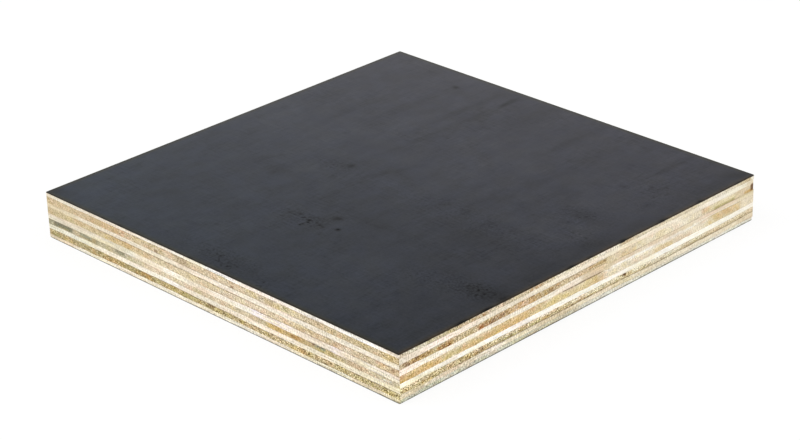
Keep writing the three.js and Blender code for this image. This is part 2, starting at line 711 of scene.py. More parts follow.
    def check_share(self, tree: bpy.types.NodeTree, place: Socket) -> Socket:
        """How much of a lathe check a spot holds: cracks that lean over as they cross the veneer.

        Args:
            tree: The material's node tree.
            place: The object coordinates.

        Returns:
            A value from 0 to the strength of the checks.
        """
        along_x = self.grain is Grain.ALONG_X
        lean = Vector((self.CHECK_LEAN, 0, 0)) if along_x else Vector((0, self.CHECK_LEAN, 0))
        leaning = add_node(tree, "Mapping", {"Vector": place, "Rotation": lean})[0]
        thin, deep = 1 / (self.check_spacing * MM), 1 / (self.CHECK_DEPTH * MM)
        along = self.CHECKS_ALONG
        scale = Vector((along, thin, deep)) if along_x else Vector((thin, along, deep))
        spaced = add_node(tree, "Mapping", {"Vector": leaning, "Scale": scale})[0]
        kind = {"Scale": 1.0, "Detail": 2.0, "Roughness": 0.5}
        cracks = add_node(tree, "TexNoise", {**kind, "Vector": spaced})["Fac"]
        span = {"From Min": 0.52, "From Max": 0.66, "To Min": 0.0, "To Max": self.checks}
        return add_node(tree, "MapRange", {"Value": cracks, **span})[0]

    def grain_scale(self, size: tuple[float, float]) -> Vector:
        """The scale of a solid pattern stretched along the grain.

        Args:
            size: A feature's size in mm, across the fibres along a growth ring, and along the fibres.

        Returns:
            Features per metre along X, Y and Z.
        """
        across, along = size
        wide, long, high = 1 / (across * MM), 1 / (along * MM), 1 / (across * self.RING_FLATNESS * MM)
        return Vector((long, wide, high)) if self.grain is Grain.ALONG_X else Vector((wide, long, high))

    def grain_noise(
        self, tree: bpy.types.NodeTree, place: Socket, size: tuple[float, float], detail: float
    ) -> Socket:
        """A noise stretched along the grain, with features of a size in mm across and along the fibres."""
        stretched = add_node(tree, "Mapping", {"Vector": place, "Scale": self.grain_scale(size)})[0]
        return add_node(tree, "TexNoise", {**NOISE, "Vector": stretched, "Detail": detail})["Fac"]

    @staticmethod
    def centred(tree: bpy.types.NodeTree, value: Socket, gain: float) -> Socket:
        """A noise moved to swing about zero, and made stronger by a gain."""
        swing = add_node(tree, "Math", {0: value, 1: 0.5}, operation="SUBTRACT")[0]
        return add_node(tree, "Math", {0: swing, 1: gain}, operation="MULTIPLY")[0]


@dataclass(frozen=True)
class PhenolicFilm:
    """Paper soaked in dark phenolic resin and cured on the hot press.

    It is blue-black and satin, so that most of its grey is the reflected backdrop. The press plate's faint
    weave and the mesh's own marks change how much it reflects.
    """

    roughness: float = 0.3
    weave: float = 0.55
    clouds: float = 0.6

    # Sizes of features in mm, along X and along Y.
    DASH = (1.1, 7.0)
    PATCH = (26.0, 26.0)
    FLECK = (1.0, 0.9)
    CLOUD = (5.0, 9.0)
    DOT = (1.5, 1.5)
    THICKNESS_CLOUD = (8.0, 8.0)

    def material(self, name: str) -> bpy.types.Material:
        """Builds the film's material, which reads the mesh's tone, sheen, rough and specks attributes.

        Args:
            name: The material's name.

        Returns:
            The material.
        """
        made = bpy.data.materials.new(name)
        tree = cleared_tree(made)
        place = add_node(tree, "TexCoord")["Object"]
        tone = add_node(tree, "Attribute", attribute_name=TONE)["Color"]
        sheen = add_node(tree, "Attribute", attribute_name=SHEEN)["Fac"]

        # The weave of the press plate's cushion: dashes both ways, fainter in patches.
        across = self.noise(tree, place, self.DASH, 2.0)
        along = self.noise(tree, place, self.DASH[::-1], 2.0)
        weave = add_node(tree, "Math", {0: across, 1: along}, operation="ADD")[0]
        uneven = self.unevenness(tree, place, weave)
        raised = add_node(tree, "Math", {0: uneven, 1: 1.0}, operation="ADD")[0]
        gain = add_node(tree, "Math", {0: raised, 1: 0.2}, operation="MAXIMUM")[0]
        reflected = add_node(tree, "Math", {0: gain, 1: sheen}, operation="MULTIPLY")[0]
        level = add_node(tree, "Math", {0: reflected, 1: 0.5}, operation="MULTIPLY")[0]

        # Where the resin is thicker it is bluer, and where it is thinner it is browner.
        depth = self.noise(tree, place, self.THICKNESS_CLOUD, 1.0)
        tint = add_node(tree, "ValToRGB", {"Fac": depth})[0]
        stops = tint.node.color_ramp.elements
        stops[0].position, stops[0].color = 0.36, linear("#f7ebdf")
        stops[1].position, stops[1].color = 0.64, linear("#e4ecf6")
        cured = add_node(tree, "Mix", {0: 1.0, 6: tone, 7: tint}, **MULTIPLIED)[2]
        shown = add_node(tree, "VectorMath", {0: cured, "Scale": gain}, operation="SCALE")[0]

        bump = add_node(tree, "Bump", {"Strength": 0.2, "Distance": 0.01 * MM, "Height": weave})[0]
        gloss = {"IOR": 1.58, "Roughness": self.roughness, "Specular IOR Level": level}
        surface = add_node(tree, "BsdfPrincipled", {**gloss, "Base Color": shown, "Normal": bump})[0]
        add_node(tree, "OutputMaterial", {"Surface": surface})
        return made

    def unevenness(self, tree: bpy.types.NodeTree, place: Socket, weave: Socket) -> Socket:
        """How much more or less a spot reflects than the rest of the film.

        Args:
            tree: The material's node tree.
            place: The object coordinates.
            weave: The weave, which swings about 1.

        Returns:
            A value that swings about zero.
        """
        patch = self.noise(tree, place, self.PATCH, 1.0)
        span = {"From Min": 0.35, "From Max": 0.65, "To Min": 0.3 * self.weave, "To Max": 1.4 * self.weave}
        swing = add_node(tree, "MapRange", {"Value": patch, **span})[0]
        dashes = add_node(tree, "Math", {0: weave, 1: 1.0}, operation="SUBTRACT")[0]
        level = add_node(tree, "Math", {0: dashes, 1: swing}, operation="MULTIPLY")[0]
        # The resin lies in clouds, and has pulled back from the paper's fibres in flecks.
        grit = add_node(tree, "Attribute", attribute_name=ROUGH)["Fac"]
        for size, detail, strength in ((self.CLOUD, 3.0, self.clouds), (self.FLECK, 1.0, grit)):
            mottle = self.noise(tree, place, size, detail)
            centred = add_node(tree, "Math", {0: mottle, 1: 0.5}, operation="SUBTRACT")[0]
            shown = add_node(tree, "Math", {0: centred, 1: strength}, operation="MULTIPLY")[0]
            level = add_node(tree, "Math", {0: level, 1: shown}, operation="ADD")[0]
        # Where the veneer below was torn, the resin has sunk in dull dots.
        specks = add_node(tree, "Attribute", attribute_name=SPECKS)["Fac"]
        sunk = self.noise(tree, place, self.DOT, 0.0)
        dots = add_node(tree, "MapRange", {"Value": sunk, "From Min": 0.52, "From Max": 0.66})[0]
        dulled = add_node(tree, "Math", {0: dots, 1: specks}, operation="MULTIPLY")[0]
        return add_node(tree, "Math", {0: level, 1: dulled}, operation="SUBTRACT")[0]

    @staticmethod
    def noise(tree: bpy.types.NodeTree, place: Socket, size: tuple[float, float], detail: float) -> Socket:
        """A noise with features of a size in mm along X and along Y.

        Args:
            tree: The material's node tree.
            place: The object coordinates.
            size: The size of a feature.
            detail: How many finer noises are laid over it.

        Returns:
            The noise.
        """
        scale = Vector((1 / size[0], 1 / size[1], 1.0)) / MM
        spaced = add_node(tree, "Mapping", {"Vector": place, "Scale": scale})[0]
        return add_node(tree, "TexNoise", {**NOISE, "Vector": spaced, "Detail": detail})["Fac"]


# -------------------------------------------------------------------------------- the layers


class Corner(Enum):
    """The sheet's corners in plan."""

    FRONT_LEFT = (-1, -1)
    FRONT_RIGHT = (1, -1)
    BACK_RIGHT = (1, 1)
    BACK_LEFT = (-1, 1)


SAWN_CORNER = 0.25


@dataclass
class Layer:
    """One layer of the sheet: its CAD node, a slot name and its place in the frame, in mm."""

    node: str
    slot: str
    radii: dict[Corner, float] = field(default_factory=dict, kw_only=True)
    low: Vector = field(init=False)
    high: Vector = field(init=False)

    def __post_init__(self) -> None:
        """Takes the layer's box from the frame."""
        low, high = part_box(self.node)
        self.low, self.high = low / MM, high / MM

    def corner_radius(self, x: float, y: float) -> float:
        """The radius in mm of the corner nearest to a point."""
        return self.radii.get(Corner((1 if x > 0 else -1, 1 if y > 0 else -1)), SAWN_CORNER)

    def finish(self, bm: bmesh.types.BMesh, material: bpy.types.Material, smooth: bool) -> bpy.types.Object:
        """Turns a bmesh in mm into the finished piece, which stands for the layer's CAD node.

        Args:
            bm: The shape, in mm in the sheet's frame. It is freed.
            material: The piece's material.
            smooth: Whether its faces are shaded smooth.

        Returns:
            The new object.
        """
        for face in bm.faces:
            face.smooth = smooth
        bmesh.ops.transform(bm, matrix=Matrix.Scale(MM, 4), verts=bm.verts)
        name = f"{self.node}_dressed"
        mesh = bpy.data.meshes.new(name)
        bm.to_mesh(mesh)
        bm.free()
        piece = bpy.data.objects.new(name, mesh)
        bpy.context.scene.collection.objects.link(piece)
        mesh.materials.append(material)
        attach(piece, "root")
        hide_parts(self.node)
        log.info("%s: %d faces", name, len(mesh.polygons))
        return piece


# Gains per channel that give back what pores, checks and tints take away from a tone, on end and side grain.
SOUND_ENDS = (1.15, 1.2, 1.3)
SANDED_ENDS = (1.1, 1.2, 1.35)
OPEN_ENDS = (1.3, 1.4, 1.5)
SOUND_SIDES = (1.03, 1.03, 1.06)
SANDED_SIDES = (1.0, 1.0, 1.05)
OPEN_SIDES = (1.07, 1.1, 1.15)


@dataclass
class Veneer(Layer):
    """A veneer between two glue lines, with its colours, stains and chips."""

    above: GlueLine
    below: GlueLine
    wood: SawnPoplarVeneer
    end_tone: Wood
    long_tone: Wood
    stains: tuple[Stain, ...]
    chips: tuple[Chip, ...] = ()
    recess: float = 0.03
    roughness: float = 0.05
    end_lift: Colour = SOUND_ENDS
    long_lift: Colour = SOUND_SIDES

    # How far apart in mm the vertices stand along a sawn edge, and their rows as shares of its height.
    STEP = 0.4
    ROWS = (0.0, 0.05, 0.11, 0.2, 0.32, 0.5, 0.68, 0.8, 0.89, 0.95, 1.0)
    # An edge of the plan that is longer than this, in mm, is a side and not part of a rounded corner.
    SHORTEST_SIDE = 10
    CORNER_SEGMENTS = 4
    # How near the rim, in mm, a vertex is drawn towards its corner's middle.
    CORNER_BAND = 1.0
    # How deep the layer is grooved next to the glue, in mm.
    GROOVE = 0.05
    # Waves per mm of the sawn surface, across the fibres and along them, and of the colour.
    SWELL_PITCH = 0.12
    END_PITCH = 1.6
    SIDE_PITCH = 0.9
    CLOUD_PITCH = 0.07
    MOTTLE_PITCH = 0.45
    # How far the colour swings in wide clouds, and in the small mottling of an end and of a side.
    CLOUD = 0.03
    END_MOTTLE = 0.05
    SIDE_MOTTLE = 0.025

    def build(self) -> bpy.types.Object:
        """Makes the veneer's mesh with its sawn relief and its colours, and dresses it.

        Returns:
            The new object.
        """
        bm = bmesh.new()
        plan = self.plan(bm)
        for edge in [e for e in bm.edges if e.calc_length() > self.SHORTEST_SIDE]:
            bmesh.ops.subdivide_edges(bm, edges=[edge], cuts=round(edge.calc_length() / self.STEP) - 1)
        raised = bmesh.ops.extrude_face_region(bm, geom=[plan], use_keep_orig=True)["geom"]
        upper = [g for g in raised if isinstance(g, bmesh.types.BMVert)]
        bmesh.ops.translate(bm, vec=(0, 0, 1), verts=upper)
        upright = [e for e in bm.edges if abs(e.verts[0].co.z - e.verts[1].co.z) > 0.5]
        bmesh.ops.subdivide_edges(bm, edges=upright, cuts=len(self.ROWS) - 2)
        bmesh.ops.recalc_face_normals(bm, faces=bm.faces)
        self.colour_and_carve(bm)
        return self.finish(bm, self.wood.material(f"sawn_poplar_{self.node}"), smooth=True)

    def plan(self, bm: bmesh.types.BMesh) -> bmesh.types.BMFace:
        """Makes the veneer's plan at height 0, with its corners rounded, and returns its one face.

        Args:
            bm: The empty bmesh that takes it.

        Returns:
            The face.
        """
        bmesh.ops.create_grid(bm, x_segments=1, y_segments=1, size=0.5)
        size = self.high - self.low
        middle = (self.high + self.low) / 2
        bmesh.ops.scale(bm, vec=(size.x, size.y, 1), verts=bm.verts)
        bmesh.ops.translate(bm, vec=(middle.x, middle.y, 0), verts=bm.verts)
        for vert in list(bm.verts):
            bmesh.ops.bevel(
                bm, geom=[vert], offset=self.corner_radius(vert.co.x, vert.co.y), affect="VERTICES",
                segments=self.CORNER_SEGMENTS, profile=0.5, material=-1,
            )
        bm.faces.ensure_lookup_table()
        return bm.faces[0]

    def colour_and_carve(self, bm: bmesh.types.BMesh) -> None:
        """Moves each vertex to its place on the sawn edge and stores its colour.

        Args:
            bm: The upright slab, 1 high, that is moved.
        """
        tone = bm.verts.layers.float_color.new(TONE)
        end_grain = bm.verts.layers.float.new(END_GRAIN)
        rough = bm.verts.layers.float.new(ROUGH)
        last = len(self.ROWS) - 1
        for vert in bm.verts:
            x, y = vert.co.x, vert.co.y
            share = self.ROWS[round(vert.co.z * last)]
            bottom, top = self.below.height(x, y), self.above.height(x, y)
            spot = Vector((x, y, bottom + (top - bottom) * share))
            place = rim_place(x, y)
            vert.co = spot
            if max(abs(x), abs(y)) > HALF_SIDE - GlueLine.RIM_BAND:
                inward = self.inward(x, y) * self.depth(place, share, spot)
                vert.co = Vector((x + inward.x, y + inward.y, spot.z))
            across = self.wood.grain.ends_at(place.edge)
            to_glue = ((top - bottom) * (1 - share), (top - bottom) * share)
            vert[end_grain] = float(across)
            start, end = COARSENESS[place.edge]
            coarse = start + (end - start) * place.run / SIDE
            vert[rough] = coarse
            lift = self.end_lift if across else self.long_lift
            shown = linear(self.colour(place, share, spot, across, to_glue))
            vert[tone] = (*(channel * (1 + (gain - 1) * coarse) for channel, gain in zip(shown, lift)), 1.0)

    def inward(self, x: float, y: float) -> Vector:
        """The unit vector into the sheet from a point of its rim.

        Args:
            x: The point's X in mm.
            y: The point's Y in mm.

        Returns:
            A vector in the plan, or zero inside the sheet.
        """
        reach = HALF_SIDE - self.CORNER_BAND
        out = Vector((math.copysign(max(abs(x) - reach, 0), x), math.copysign(max(abs(y) - reach, 0), y)))
        return -out.normalized() if out.length else Vector((0, 0))

    def depth(self, place: RimPlace, share: float, spot: Vector) -> float:
        """How far the sawn surface lies inside the nominal edge at a vertex, in mm.

        Args:
            place: The vertex's place on the rim.
            share: Its share of the layer's height.
            spot: Its place in the sheet, in mm.

        Returns:
            The depth in mm.
        """
        across = self.wood.grain.ends_at(place.edge)
        swell = 0.5 + 0.5 * noise.noise(spot * self.SWELL_PITCH + Vector((7, 1, self.low.z)))
        fine = 0.5 + 0.5 * noise.noise(spot * (self.END_PITCH if across else self.SIDE_PITCH))
        groove = self.GROOVE if share in (0.0, 1.0) else 0
        bites = max((chip.at(place, share) for chip in self.chips), default=0.0)
        return self.recess * swell + self.roughness * fine * (1 if across else 0.5) + groove + bites

    def colour(
        self, place: RimPlace, share: float, spot: Vector, across: bool, to_glue: tuple[float, float]
    ) -> Colour:
        """The veneer's colour at a vertex.

        Args:
            place: The vertex's place on the rim.
            share: Its share of the layer's height.
            spot: Its place in the sheet, in mm.
            across: Whether the edge shows end grain.
            to_glue: Its distance to the glue line above and to the one below, in mm.

        Returns:
            The colour in sRGB.
        """
        base = srgb((self.end_tone if across else self.long_tone).value)
        for stain in self.stains:
            amount = stain.at(place, share, spot)
            if amount > 0:
                base = blend(base, srgb(stain.wood.value), amount)
        wide = noise.noise(spot * self.CLOUD_PITCH + Vector((0, 0, self.low.z * 9)))
        small = noise.noise(Vector((spot.x, spot.y, spot.z * 2)) * self.MOTTLE_PITCH)
        mottle = self.END_MOTTLE if across else self.SIDE_MOTTLE
        base = shade(base, 1 + self.CLOUD * wide + mottle * small)
        for line, gap in zip((self.above, self.below), to_glue):
            if gap < line.width:
                base = blend(base, srgb(line.tone), line.darkness(place) * (1 - gap / line.width))
        return base


@dataclass(frozen=True)
class FilmMark:
    """A soft mark in a film, in mm, turned by angle degrees; strength is negative where it is darker."""

    x: float
    y: float
    length: float
    width: float
    strength: float
    angle: float = 0.0

    def over(self, x: np.ndarray, y: np.ndarray) -> np.ndarray:
        """The mark's strength at each point.

        Args:
            x: The points' X in mm.
            y: The points' Y in mm.

        Returns:
            Their strengths.
        """
        turn = math.radians(self.angle)
        along = (x - self.x) * math.cos(turn) + (y - self.y) * math.sin(turn)
        across = (y - self.y) * math.cos(turn) - (x - self.x) * math.sin(turn)
        return self.strength * np.exp(-((along / (self.length / 2)) ** 2) - (across / (self.width / 2)) ** 2)


def film_marks(*rows: tuple) -> tuple[FilmMark, ...]:
    """Marks from rows of their place, length, width, strength and angle."""
    return tuple(FilmMark(*row) for row in rows)


@dataclass(frozen=True)
class Zone:
    """A rectangle of a film, in mm, that holds marks too small for the film's usual mesh."""

    low_x: float
    low_y: float
    high_x: float
    high_y: float

    def holds(self, spot: Vector) -> bool:
        """Whether a point is inside the rectangle."""
        return self.low_x < spot.x < self.high_x and self.low_y < spot.y < self.high_y


@dataclass(frozen=True)
class Cure:
    """How the resin has cured at one place: its sRGB colour, its gloss against the usual, and its flecks."""

    tone: str = "#12161f"
    gloss: float = 1.0
    grit: float = 0.3


@dataclass
class Film(Layer):
    """A phenolic film, with the marks that the press and the veneer below leave in it."""

    faces_up: bool
    step: float = 0.75
    cures: dict[Corner, Cure] = field(default_factory=lambda: dict.fromkeys(Corner, Cure()))
    dark_tone: str = "#08080a"
    pale_tone: str = "#3a3b42"
    side_tone: str = "#0b0906"
    rim_tones: dict[Edge, str] = field(default_factory=lambda: dict.fromkeys(Edge, "#322b02"))
    worn_right: float = 0.0
    # How strongly painted shade darkens the film's top within one grid step of the rim, and cuts its
    # reflection there.
    painted_rim_shade: float = 0.85
    marks: tuple[FilmMark, ...] = ()
    flecks: tuple[FilmMark, ...] = ()
    specks: tuple[FilmMark, ...] = ()
    fine_zones: tuple[Zone, ...] = ()

    # The bevel on the film's arris, and how far in from the rim the film is browned, both in mm.
    ARRIS = 0.05
    RIM_REACH = 2.4
    # Waves per mm of the wide and small clouds, and of the lines drawn out across the film and along them.
    CLOUD_PITCHES = (0.03, 0.09)
    DRAWN_PITCHES = (0.16, 0.012)
    # How strongly they show, the small clouds against the wide ones.
    CLOUDS = 0.12
    SMALL_CLOUDS = 0.7
    DRAWN = 0.09
    LEAST_GLOSS = 0.1
    # Heights closer than this, in mm, count as one.
    SAME_HEIGHT = 1e-4

    def build(self) -> bpy.types.Object:
        """Makes the film as a fine grid with a closed rim, colours it and dresses it.

        Returns:
            The new object.
        """
        bm = bmesh.new()
        size = self.high - self.low
        cells = round(size.x / self.step)
        bmesh.ops.create_grid(bm, x_segments=cells, y_segments=cells, size=size.x / 2)
        outer, inner = (self.high.z, self.low.z) if self.faces_up else (self.low.z, self.high.z)
        for zone in self.fine_zones:
            inside = [e for e in bm.edges if all(zone.holds(v.co) for v in e.verts)]
            bmesh.ops.subdivide_edges(bm, edges=inside, cuts=2, use_grid_fill=True)
        self.round_corners(bm)
        rim = [e for e in bm.edges if e.is_boundary]
        skirt = bmesh.ops.extrude_edge_only(bm, edges=rim)["geom"]
        lower = [g for g in skirt if isinstance(g, bmesh.types.BMVert)]
        bmesh.ops.translate(bm, vec=(0, 0, inner - outer), verts=lower)
        bmesh.ops.translate(bm, vec=(0, 0, outer), verts=bm.verts)
        bmesh.ops.edgeloop_fill(bm, edges=[g for g in skirt if isinstance(g, bmesh.types.BMEdge)])
        bmesh.ops.recalc_face_normals(bm, faces=bm.faces)
        arris = [
            e for e in bm.edges
            if all(abs(v.co.z - outer) < self.SAME_HEIGHT for v in e.verts)
            and any(abs(f.normal.z) < 0.5 for f in e.link_faces)
        ]
        bmesh.ops.bevel(
            bm, geom=arris, offset=self.ARRIS, affect="EDGES", segments=2, profile=0.5, material=-1
        )
        self.colour(bm, outer)
        return self.finish(bm, PhenolicFilm().material(f"phenolic_film_{self.node}"), smooth=False)

    def round_corners(self, bm: bmesh.types.BMesh) -> None:
        """Draws the flat grid in to its rounded corners, and to its worn right edge.

        Args:
            bm: The flat grid, which is moved.
        """
        for vert in bm.verts:
            x, y = vert.co.x, vert.co.y
            radius = self.corner_radius(x, y)
            middle = Vector((math.copysign(HALF_SIDE - radius, x), math.copysign(HALF_SIDE - radius, y)))
            out = Vector((x, y)) - middle
            if out.x * middle.x > 0 and out.y * middle.y > 0 and out.length > radius:
                out.length = radius
                x, y = middle + out
            vert.co.x, vert.co.y = min(x, HALF_SIDE - self.worn_right), y

    def colour(self, bm: bmesh.types.BMesh, outer: float) -> None:
        """Stores the film's colour, gloss and flecks at each vertex, and the painted shade along its rim.

        Args:
            bm: The film's finished shape, in mm.
            outer: The height of its outer face, in mm.
        """
        tone = bm.verts.layers.float_color.new(TONE)
        sheen = bm.verts.layers.float.new(SHEEN)
        rough = bm.verts.layers.float.new(ROUGH)
        specks = bm.verts.layers.float.new(SPECKS)
        verts = list(bm.verts)
        x = np.array([v.co.x for v in verts])
        y = np.array([v.co.y for v in verts])
        strength, flecked, speckled = (
            sum((mark.over(x, y) for mark in marks), np.zeros(len(verts)))
            for marks in (self.marks, self.flecks, self.specks)
        )
        dark, pale, side = srgb(self.dark_tone), srgb(self.pale_tone), srgb(self.side_tone)
        browns = {edge: srgb(code) for edge, code in self.rim_tones.items()}
        for vert, mark, more_grit, dots in zip(verts, strength, flecked, speckled):
            spot = vert.co
            if abs(spot.z - outer) > self.ARRIS * 0.9:
                vert[tone] = linear(blend(side, dark, -mark))
                vert[sheen] = 0.5 * clamp(1 + mark, self.LEAST_GLOSS)
                continue
            value = mark + self.cloudiness(spot)
            rim = HALF_SIDE - max(abs(spot.x), abs(spot.y))
            # Painted shade: within one grid step of the rim the top is darkened towards the dark tone and
            # reflects less.
            painted_rim_shading = self.painted_rim_shade * max(1 - rim / self.step, 0)
            body, gloss, grit = self.cured(spot.x, spot.y)
            if rim < self.RIM_REACH:
                brown = browns[rim_place(spot.x, spot.y).edge]
                body = blend(blend(body, dark, painted_rim_shading), brown, 1 - rim / self.RIM_REACH)
            vert[tone] = linear(blend(body, pale if value > 0 else dark, abs(value)))
            vert[sheen] = gloss * max(1 + value - painted_rim_shading, self.LEAST_GLOSS)
            vert[rough] = grit + more_grit
            vert[specks] = dots

    def cloudiness(self, spot: Vector) -> float:
        """How light the resin is at a point: clouds of two sizes, and lines drawn out along Y.

        Args:
            spot: The point, in mm.

        Returns:
            A value that swings about zero.
        """
        wide, small = (noise.noise(spot * pitch) for pitch in self.CLOUD_PITCHES)
        across, along = self.DRAWN_PITCHES
        drawn = noise.noise(Vector((spot.x * across, spot.y * along, 4.0)))
        return self.CLOUDS * (wide + self.SMALL_CLOUDS * small) + self.DRAWN * drawn

    def cured(self, x: float, y: float) -> tuple[Colour, float, float]:
        """The resin's colour, gloss and flecks at a point in mm, between those at the four corners.

        Args:
            x: The point's X in mm.
            y: The point's Y in mm.

        Returns:
            The colour in sRGB, the gloss and the flecks.
        """
        across, back = (x / HALF_SIDE + 1) / 2, (y / HALF_SIDE + 1) / 2
        shares = {
            Corner.FRONT_LEFT: (1 - across) * (1 - back),
            Corner.FRONT_RIGHT: across * (1 - back),
            Corner.BACK_LEFT: (1 - across) * back,
            Corner.BACK_RIGHT: across * back,
        }
        tones = {corner: srgb(self.cures[corner].tone) for corner in shares}
        body = tuple(sum(share * tones[corner][i] for corner, share in shares.items()) for i in range(3))
        gloss = sum(share * self.cures[corner].gloss for corner, share in shares.items())
        return body, gloss, sum(share * self.cures[corner].grit for corner, share in shares.items())


# -------------------------------------------------------------------------------- the sheet


def face_veneer_1() -> Veneer:
    """The sanded face veneer."""
    return Veneer(
        "face_veneer_1", "sanded_veneer", GLUE_LINES[0], GLUE_LINES[1],
        SawnPoplarVeneer(Grain.ALONG_X, mottle=0.6, pores=0.4, checks=0.1, saw=1.2),
        Wood.SAND, Wood.IVORY,
        Stain.rows(
            front=(
                (0, 30, Wood.PALE, 0.9, 25), (29, 38, Wood.IVORY, 0.5, 3), (38, 54, Wood.CREAM, 0.5, 6),
                (44, 54, Wood.OAT, 0.3, 3), (6, 22, Wood.MIST, 0.4, 5), (20, 30, Wood.CREAM, 0.5, 5),
                (60, 68, Wood.OAT, 0.4, 3), (88, 101, Wood.MILK, 0.9, 4), (155, 167, Wood.MILK, 0.8, 4),
                (176, 180, Wood.PALE, 0.8, 3),
            ),
            right=(
                (0, 16, Wood.OAT, 0.6, 4),
                # The film's black tatters smear the veneer's top.
                (13, 20.6, Wood.PITCH, 0.4, 0.8, 0.88, 1, 1.2),
                (25.5, 30.5, Wood.PITCH, 0.7, 0.8, 0.86, 1, 1),
                (43, 53.5, Wood.PITCH, 0.4, 1, 0.88, 1, 1.2), (79, 82, Wood.PITCH, 0.8, 0.6, 0.86, 1),
                (106, 108.6, Wood.PITCH, 0.8, 0.5, 0.86, 1), (110, 113, Wood.PITCH, 0.4, 0.6, 0.88, 1),
                (125.5, 130, Wood.PITCH, 0.7, 0.6, 0.86, 1), (148.4, 152, Wood.PITCH, 0.9, 0.5, 0.84, 1),
                (169, 172.5, Wood.PITCH, 0.4, 0.6, 0.88, 1),
                # Below them, the wood's own colours.
                (14, 30, Wood.DRAB, 0.4, 3), (66, 75, Wood.TAN, 0.5, 2.5),
                (32, 66, Wood.ROSE, 0.3, 6, 0, 1, 1.4), (34, 40, Wood.RUST, 0.6, 1.5, 0.1, 0.6, 0.7),
                (47.5, 51, Wood.BARK, 0.45, 1, 0.2, 0.6, 0.6), (42, 62, Wood.OAT, 0.35, 4),
                (60, 66, Wood.RUST, 0.45, 1.5, 0.2, 0.9, 0.7), (75, 98, Wood.PALE, 0.65, 4),
                (96, 105, Wood.PALE, 0.85, 2.5), (51, 60, Wood.SAND, 0.5, 2),
                (111, 120, Wood.SAND, 0.65, 3), (116, 150, Wood.OAT, 0.6, 6), (150, 173, Wood.PALE, 0.7, 4),
                (156, 165, Wood.IVORY, 0.2, 3), (173, 178, Wood.SAND, 0.4, 2),
                (178.5, 180, Wood.CREAM, 0.9, 0.8),
            ),
        ),
        recess=0.02, end_lift=SANDED_ENDS, long_lift=SANDED_SIDES,
    )


def crossband_2() -> Veneer:
    """The crossband under the face veneer."""
    return Veneer(
        "crossband_2", "crossband", GLUE_LINES[1], GLUE_LINES[2],
        SawnPoplarVeneer(
            Grain.ALONG_Y, mottle=0.68, pores=0.45, check_spacing=0.6, streaks=0.4, saw=0.95,
            fibre=0.46,
        ),
        Wood.TAN, Wood.CREAM,
        Stain.rows(
            front=(
                (0, 46, Wood.SAND, 0.75, 8), (0, 14, Wood.ROSE, 0.3, 4, 0, 1, 2),
                (0, 16, Wood.DRAB, 0.2, 4), (27, 40, Wood.OCHRE, 0.22, 3), (38, 68, Wood.TAN, 0.12, 4),
                (33, 46, Wood.ROSE, 0.45, 3, 0, 1, 1.6), (38, 44, Wood.RUST, 0.16, 1.5, 0, 1, 1.2),
                (56, 64, Wood.OLIVE, 0.3, 2, 0, 1, 1), (60.6, 61.8, Wood.BARK, 0.4, 0.6, 0, 0.3),
                (67, 82, Wood.PALE, 0.3, 3), (71, 79, Wood.DRAB, 0.4, 2),
                (72, 78, Wood.BARK, 0.4, 0.8, 0.2, 1, 0.6), (90, 135, Wood.OAT, 0.6, 8),
                (82, 100, Wood.SAND, 0.3, 3), (100.3, 101.2, Wood.BARK, 0.55, 0.4, 0, 0.25),
                (104, 112, Wood.OCHRE, 0.18, 4, 0, 1, 0.9), (115, 121, Wood.BARK, 0.12, 2, 0.4, 0.9, 0.6),
                (124, 130, Wood.STRAW, 0.5, 2), (118, 124, Wood.OCHRE, 0.25, 2, 0.1, 0.6),
                (126.5, 129, Wood.OLIVE, 0.3, 0.8, 0.3, 1), (136, 180, Wood.SAND, 0.6, 10),
                (148, 151, Wood.RUST, 0.25, 1, 0, 0.4, 0.8), (148, 174, Wood.DRAB, 0.2, 4),
                (173, 180, Wood.GOLD, 0.2, 4),
            ),
            right=(
                (14, 30, Wood.IVORY, 0.5, 6), (14, 23, Wood.MILK, 0.4, 2), (35, 52, Wood.IVORY, 0.35, 4),
                (36, 46, Wood.STRAW, 0.08, 3), (45, 58, Wood.OAT, 0.3, 3), (162, 174, Wood.MIST, 0.4, 3),
                (150, 170, Wood.IVORY, 0.55, 6), (141, 151, Wood.OAT, 0.35, 3),
                (105, 122, Wood.ROSE, 0.2, 3, 0, 0.2), (176.5, 180, Wood.OAT, 0.7, 1.5),
                # The dark at the notched back right corner is painted shadow in the notch.
                (178.5, 179.7, Wood.BARK, 0.5, 0.4, 0, 0.1),
            ),
        ),
        radii={Corner.BACK_RIGHT: 0.7},
    )


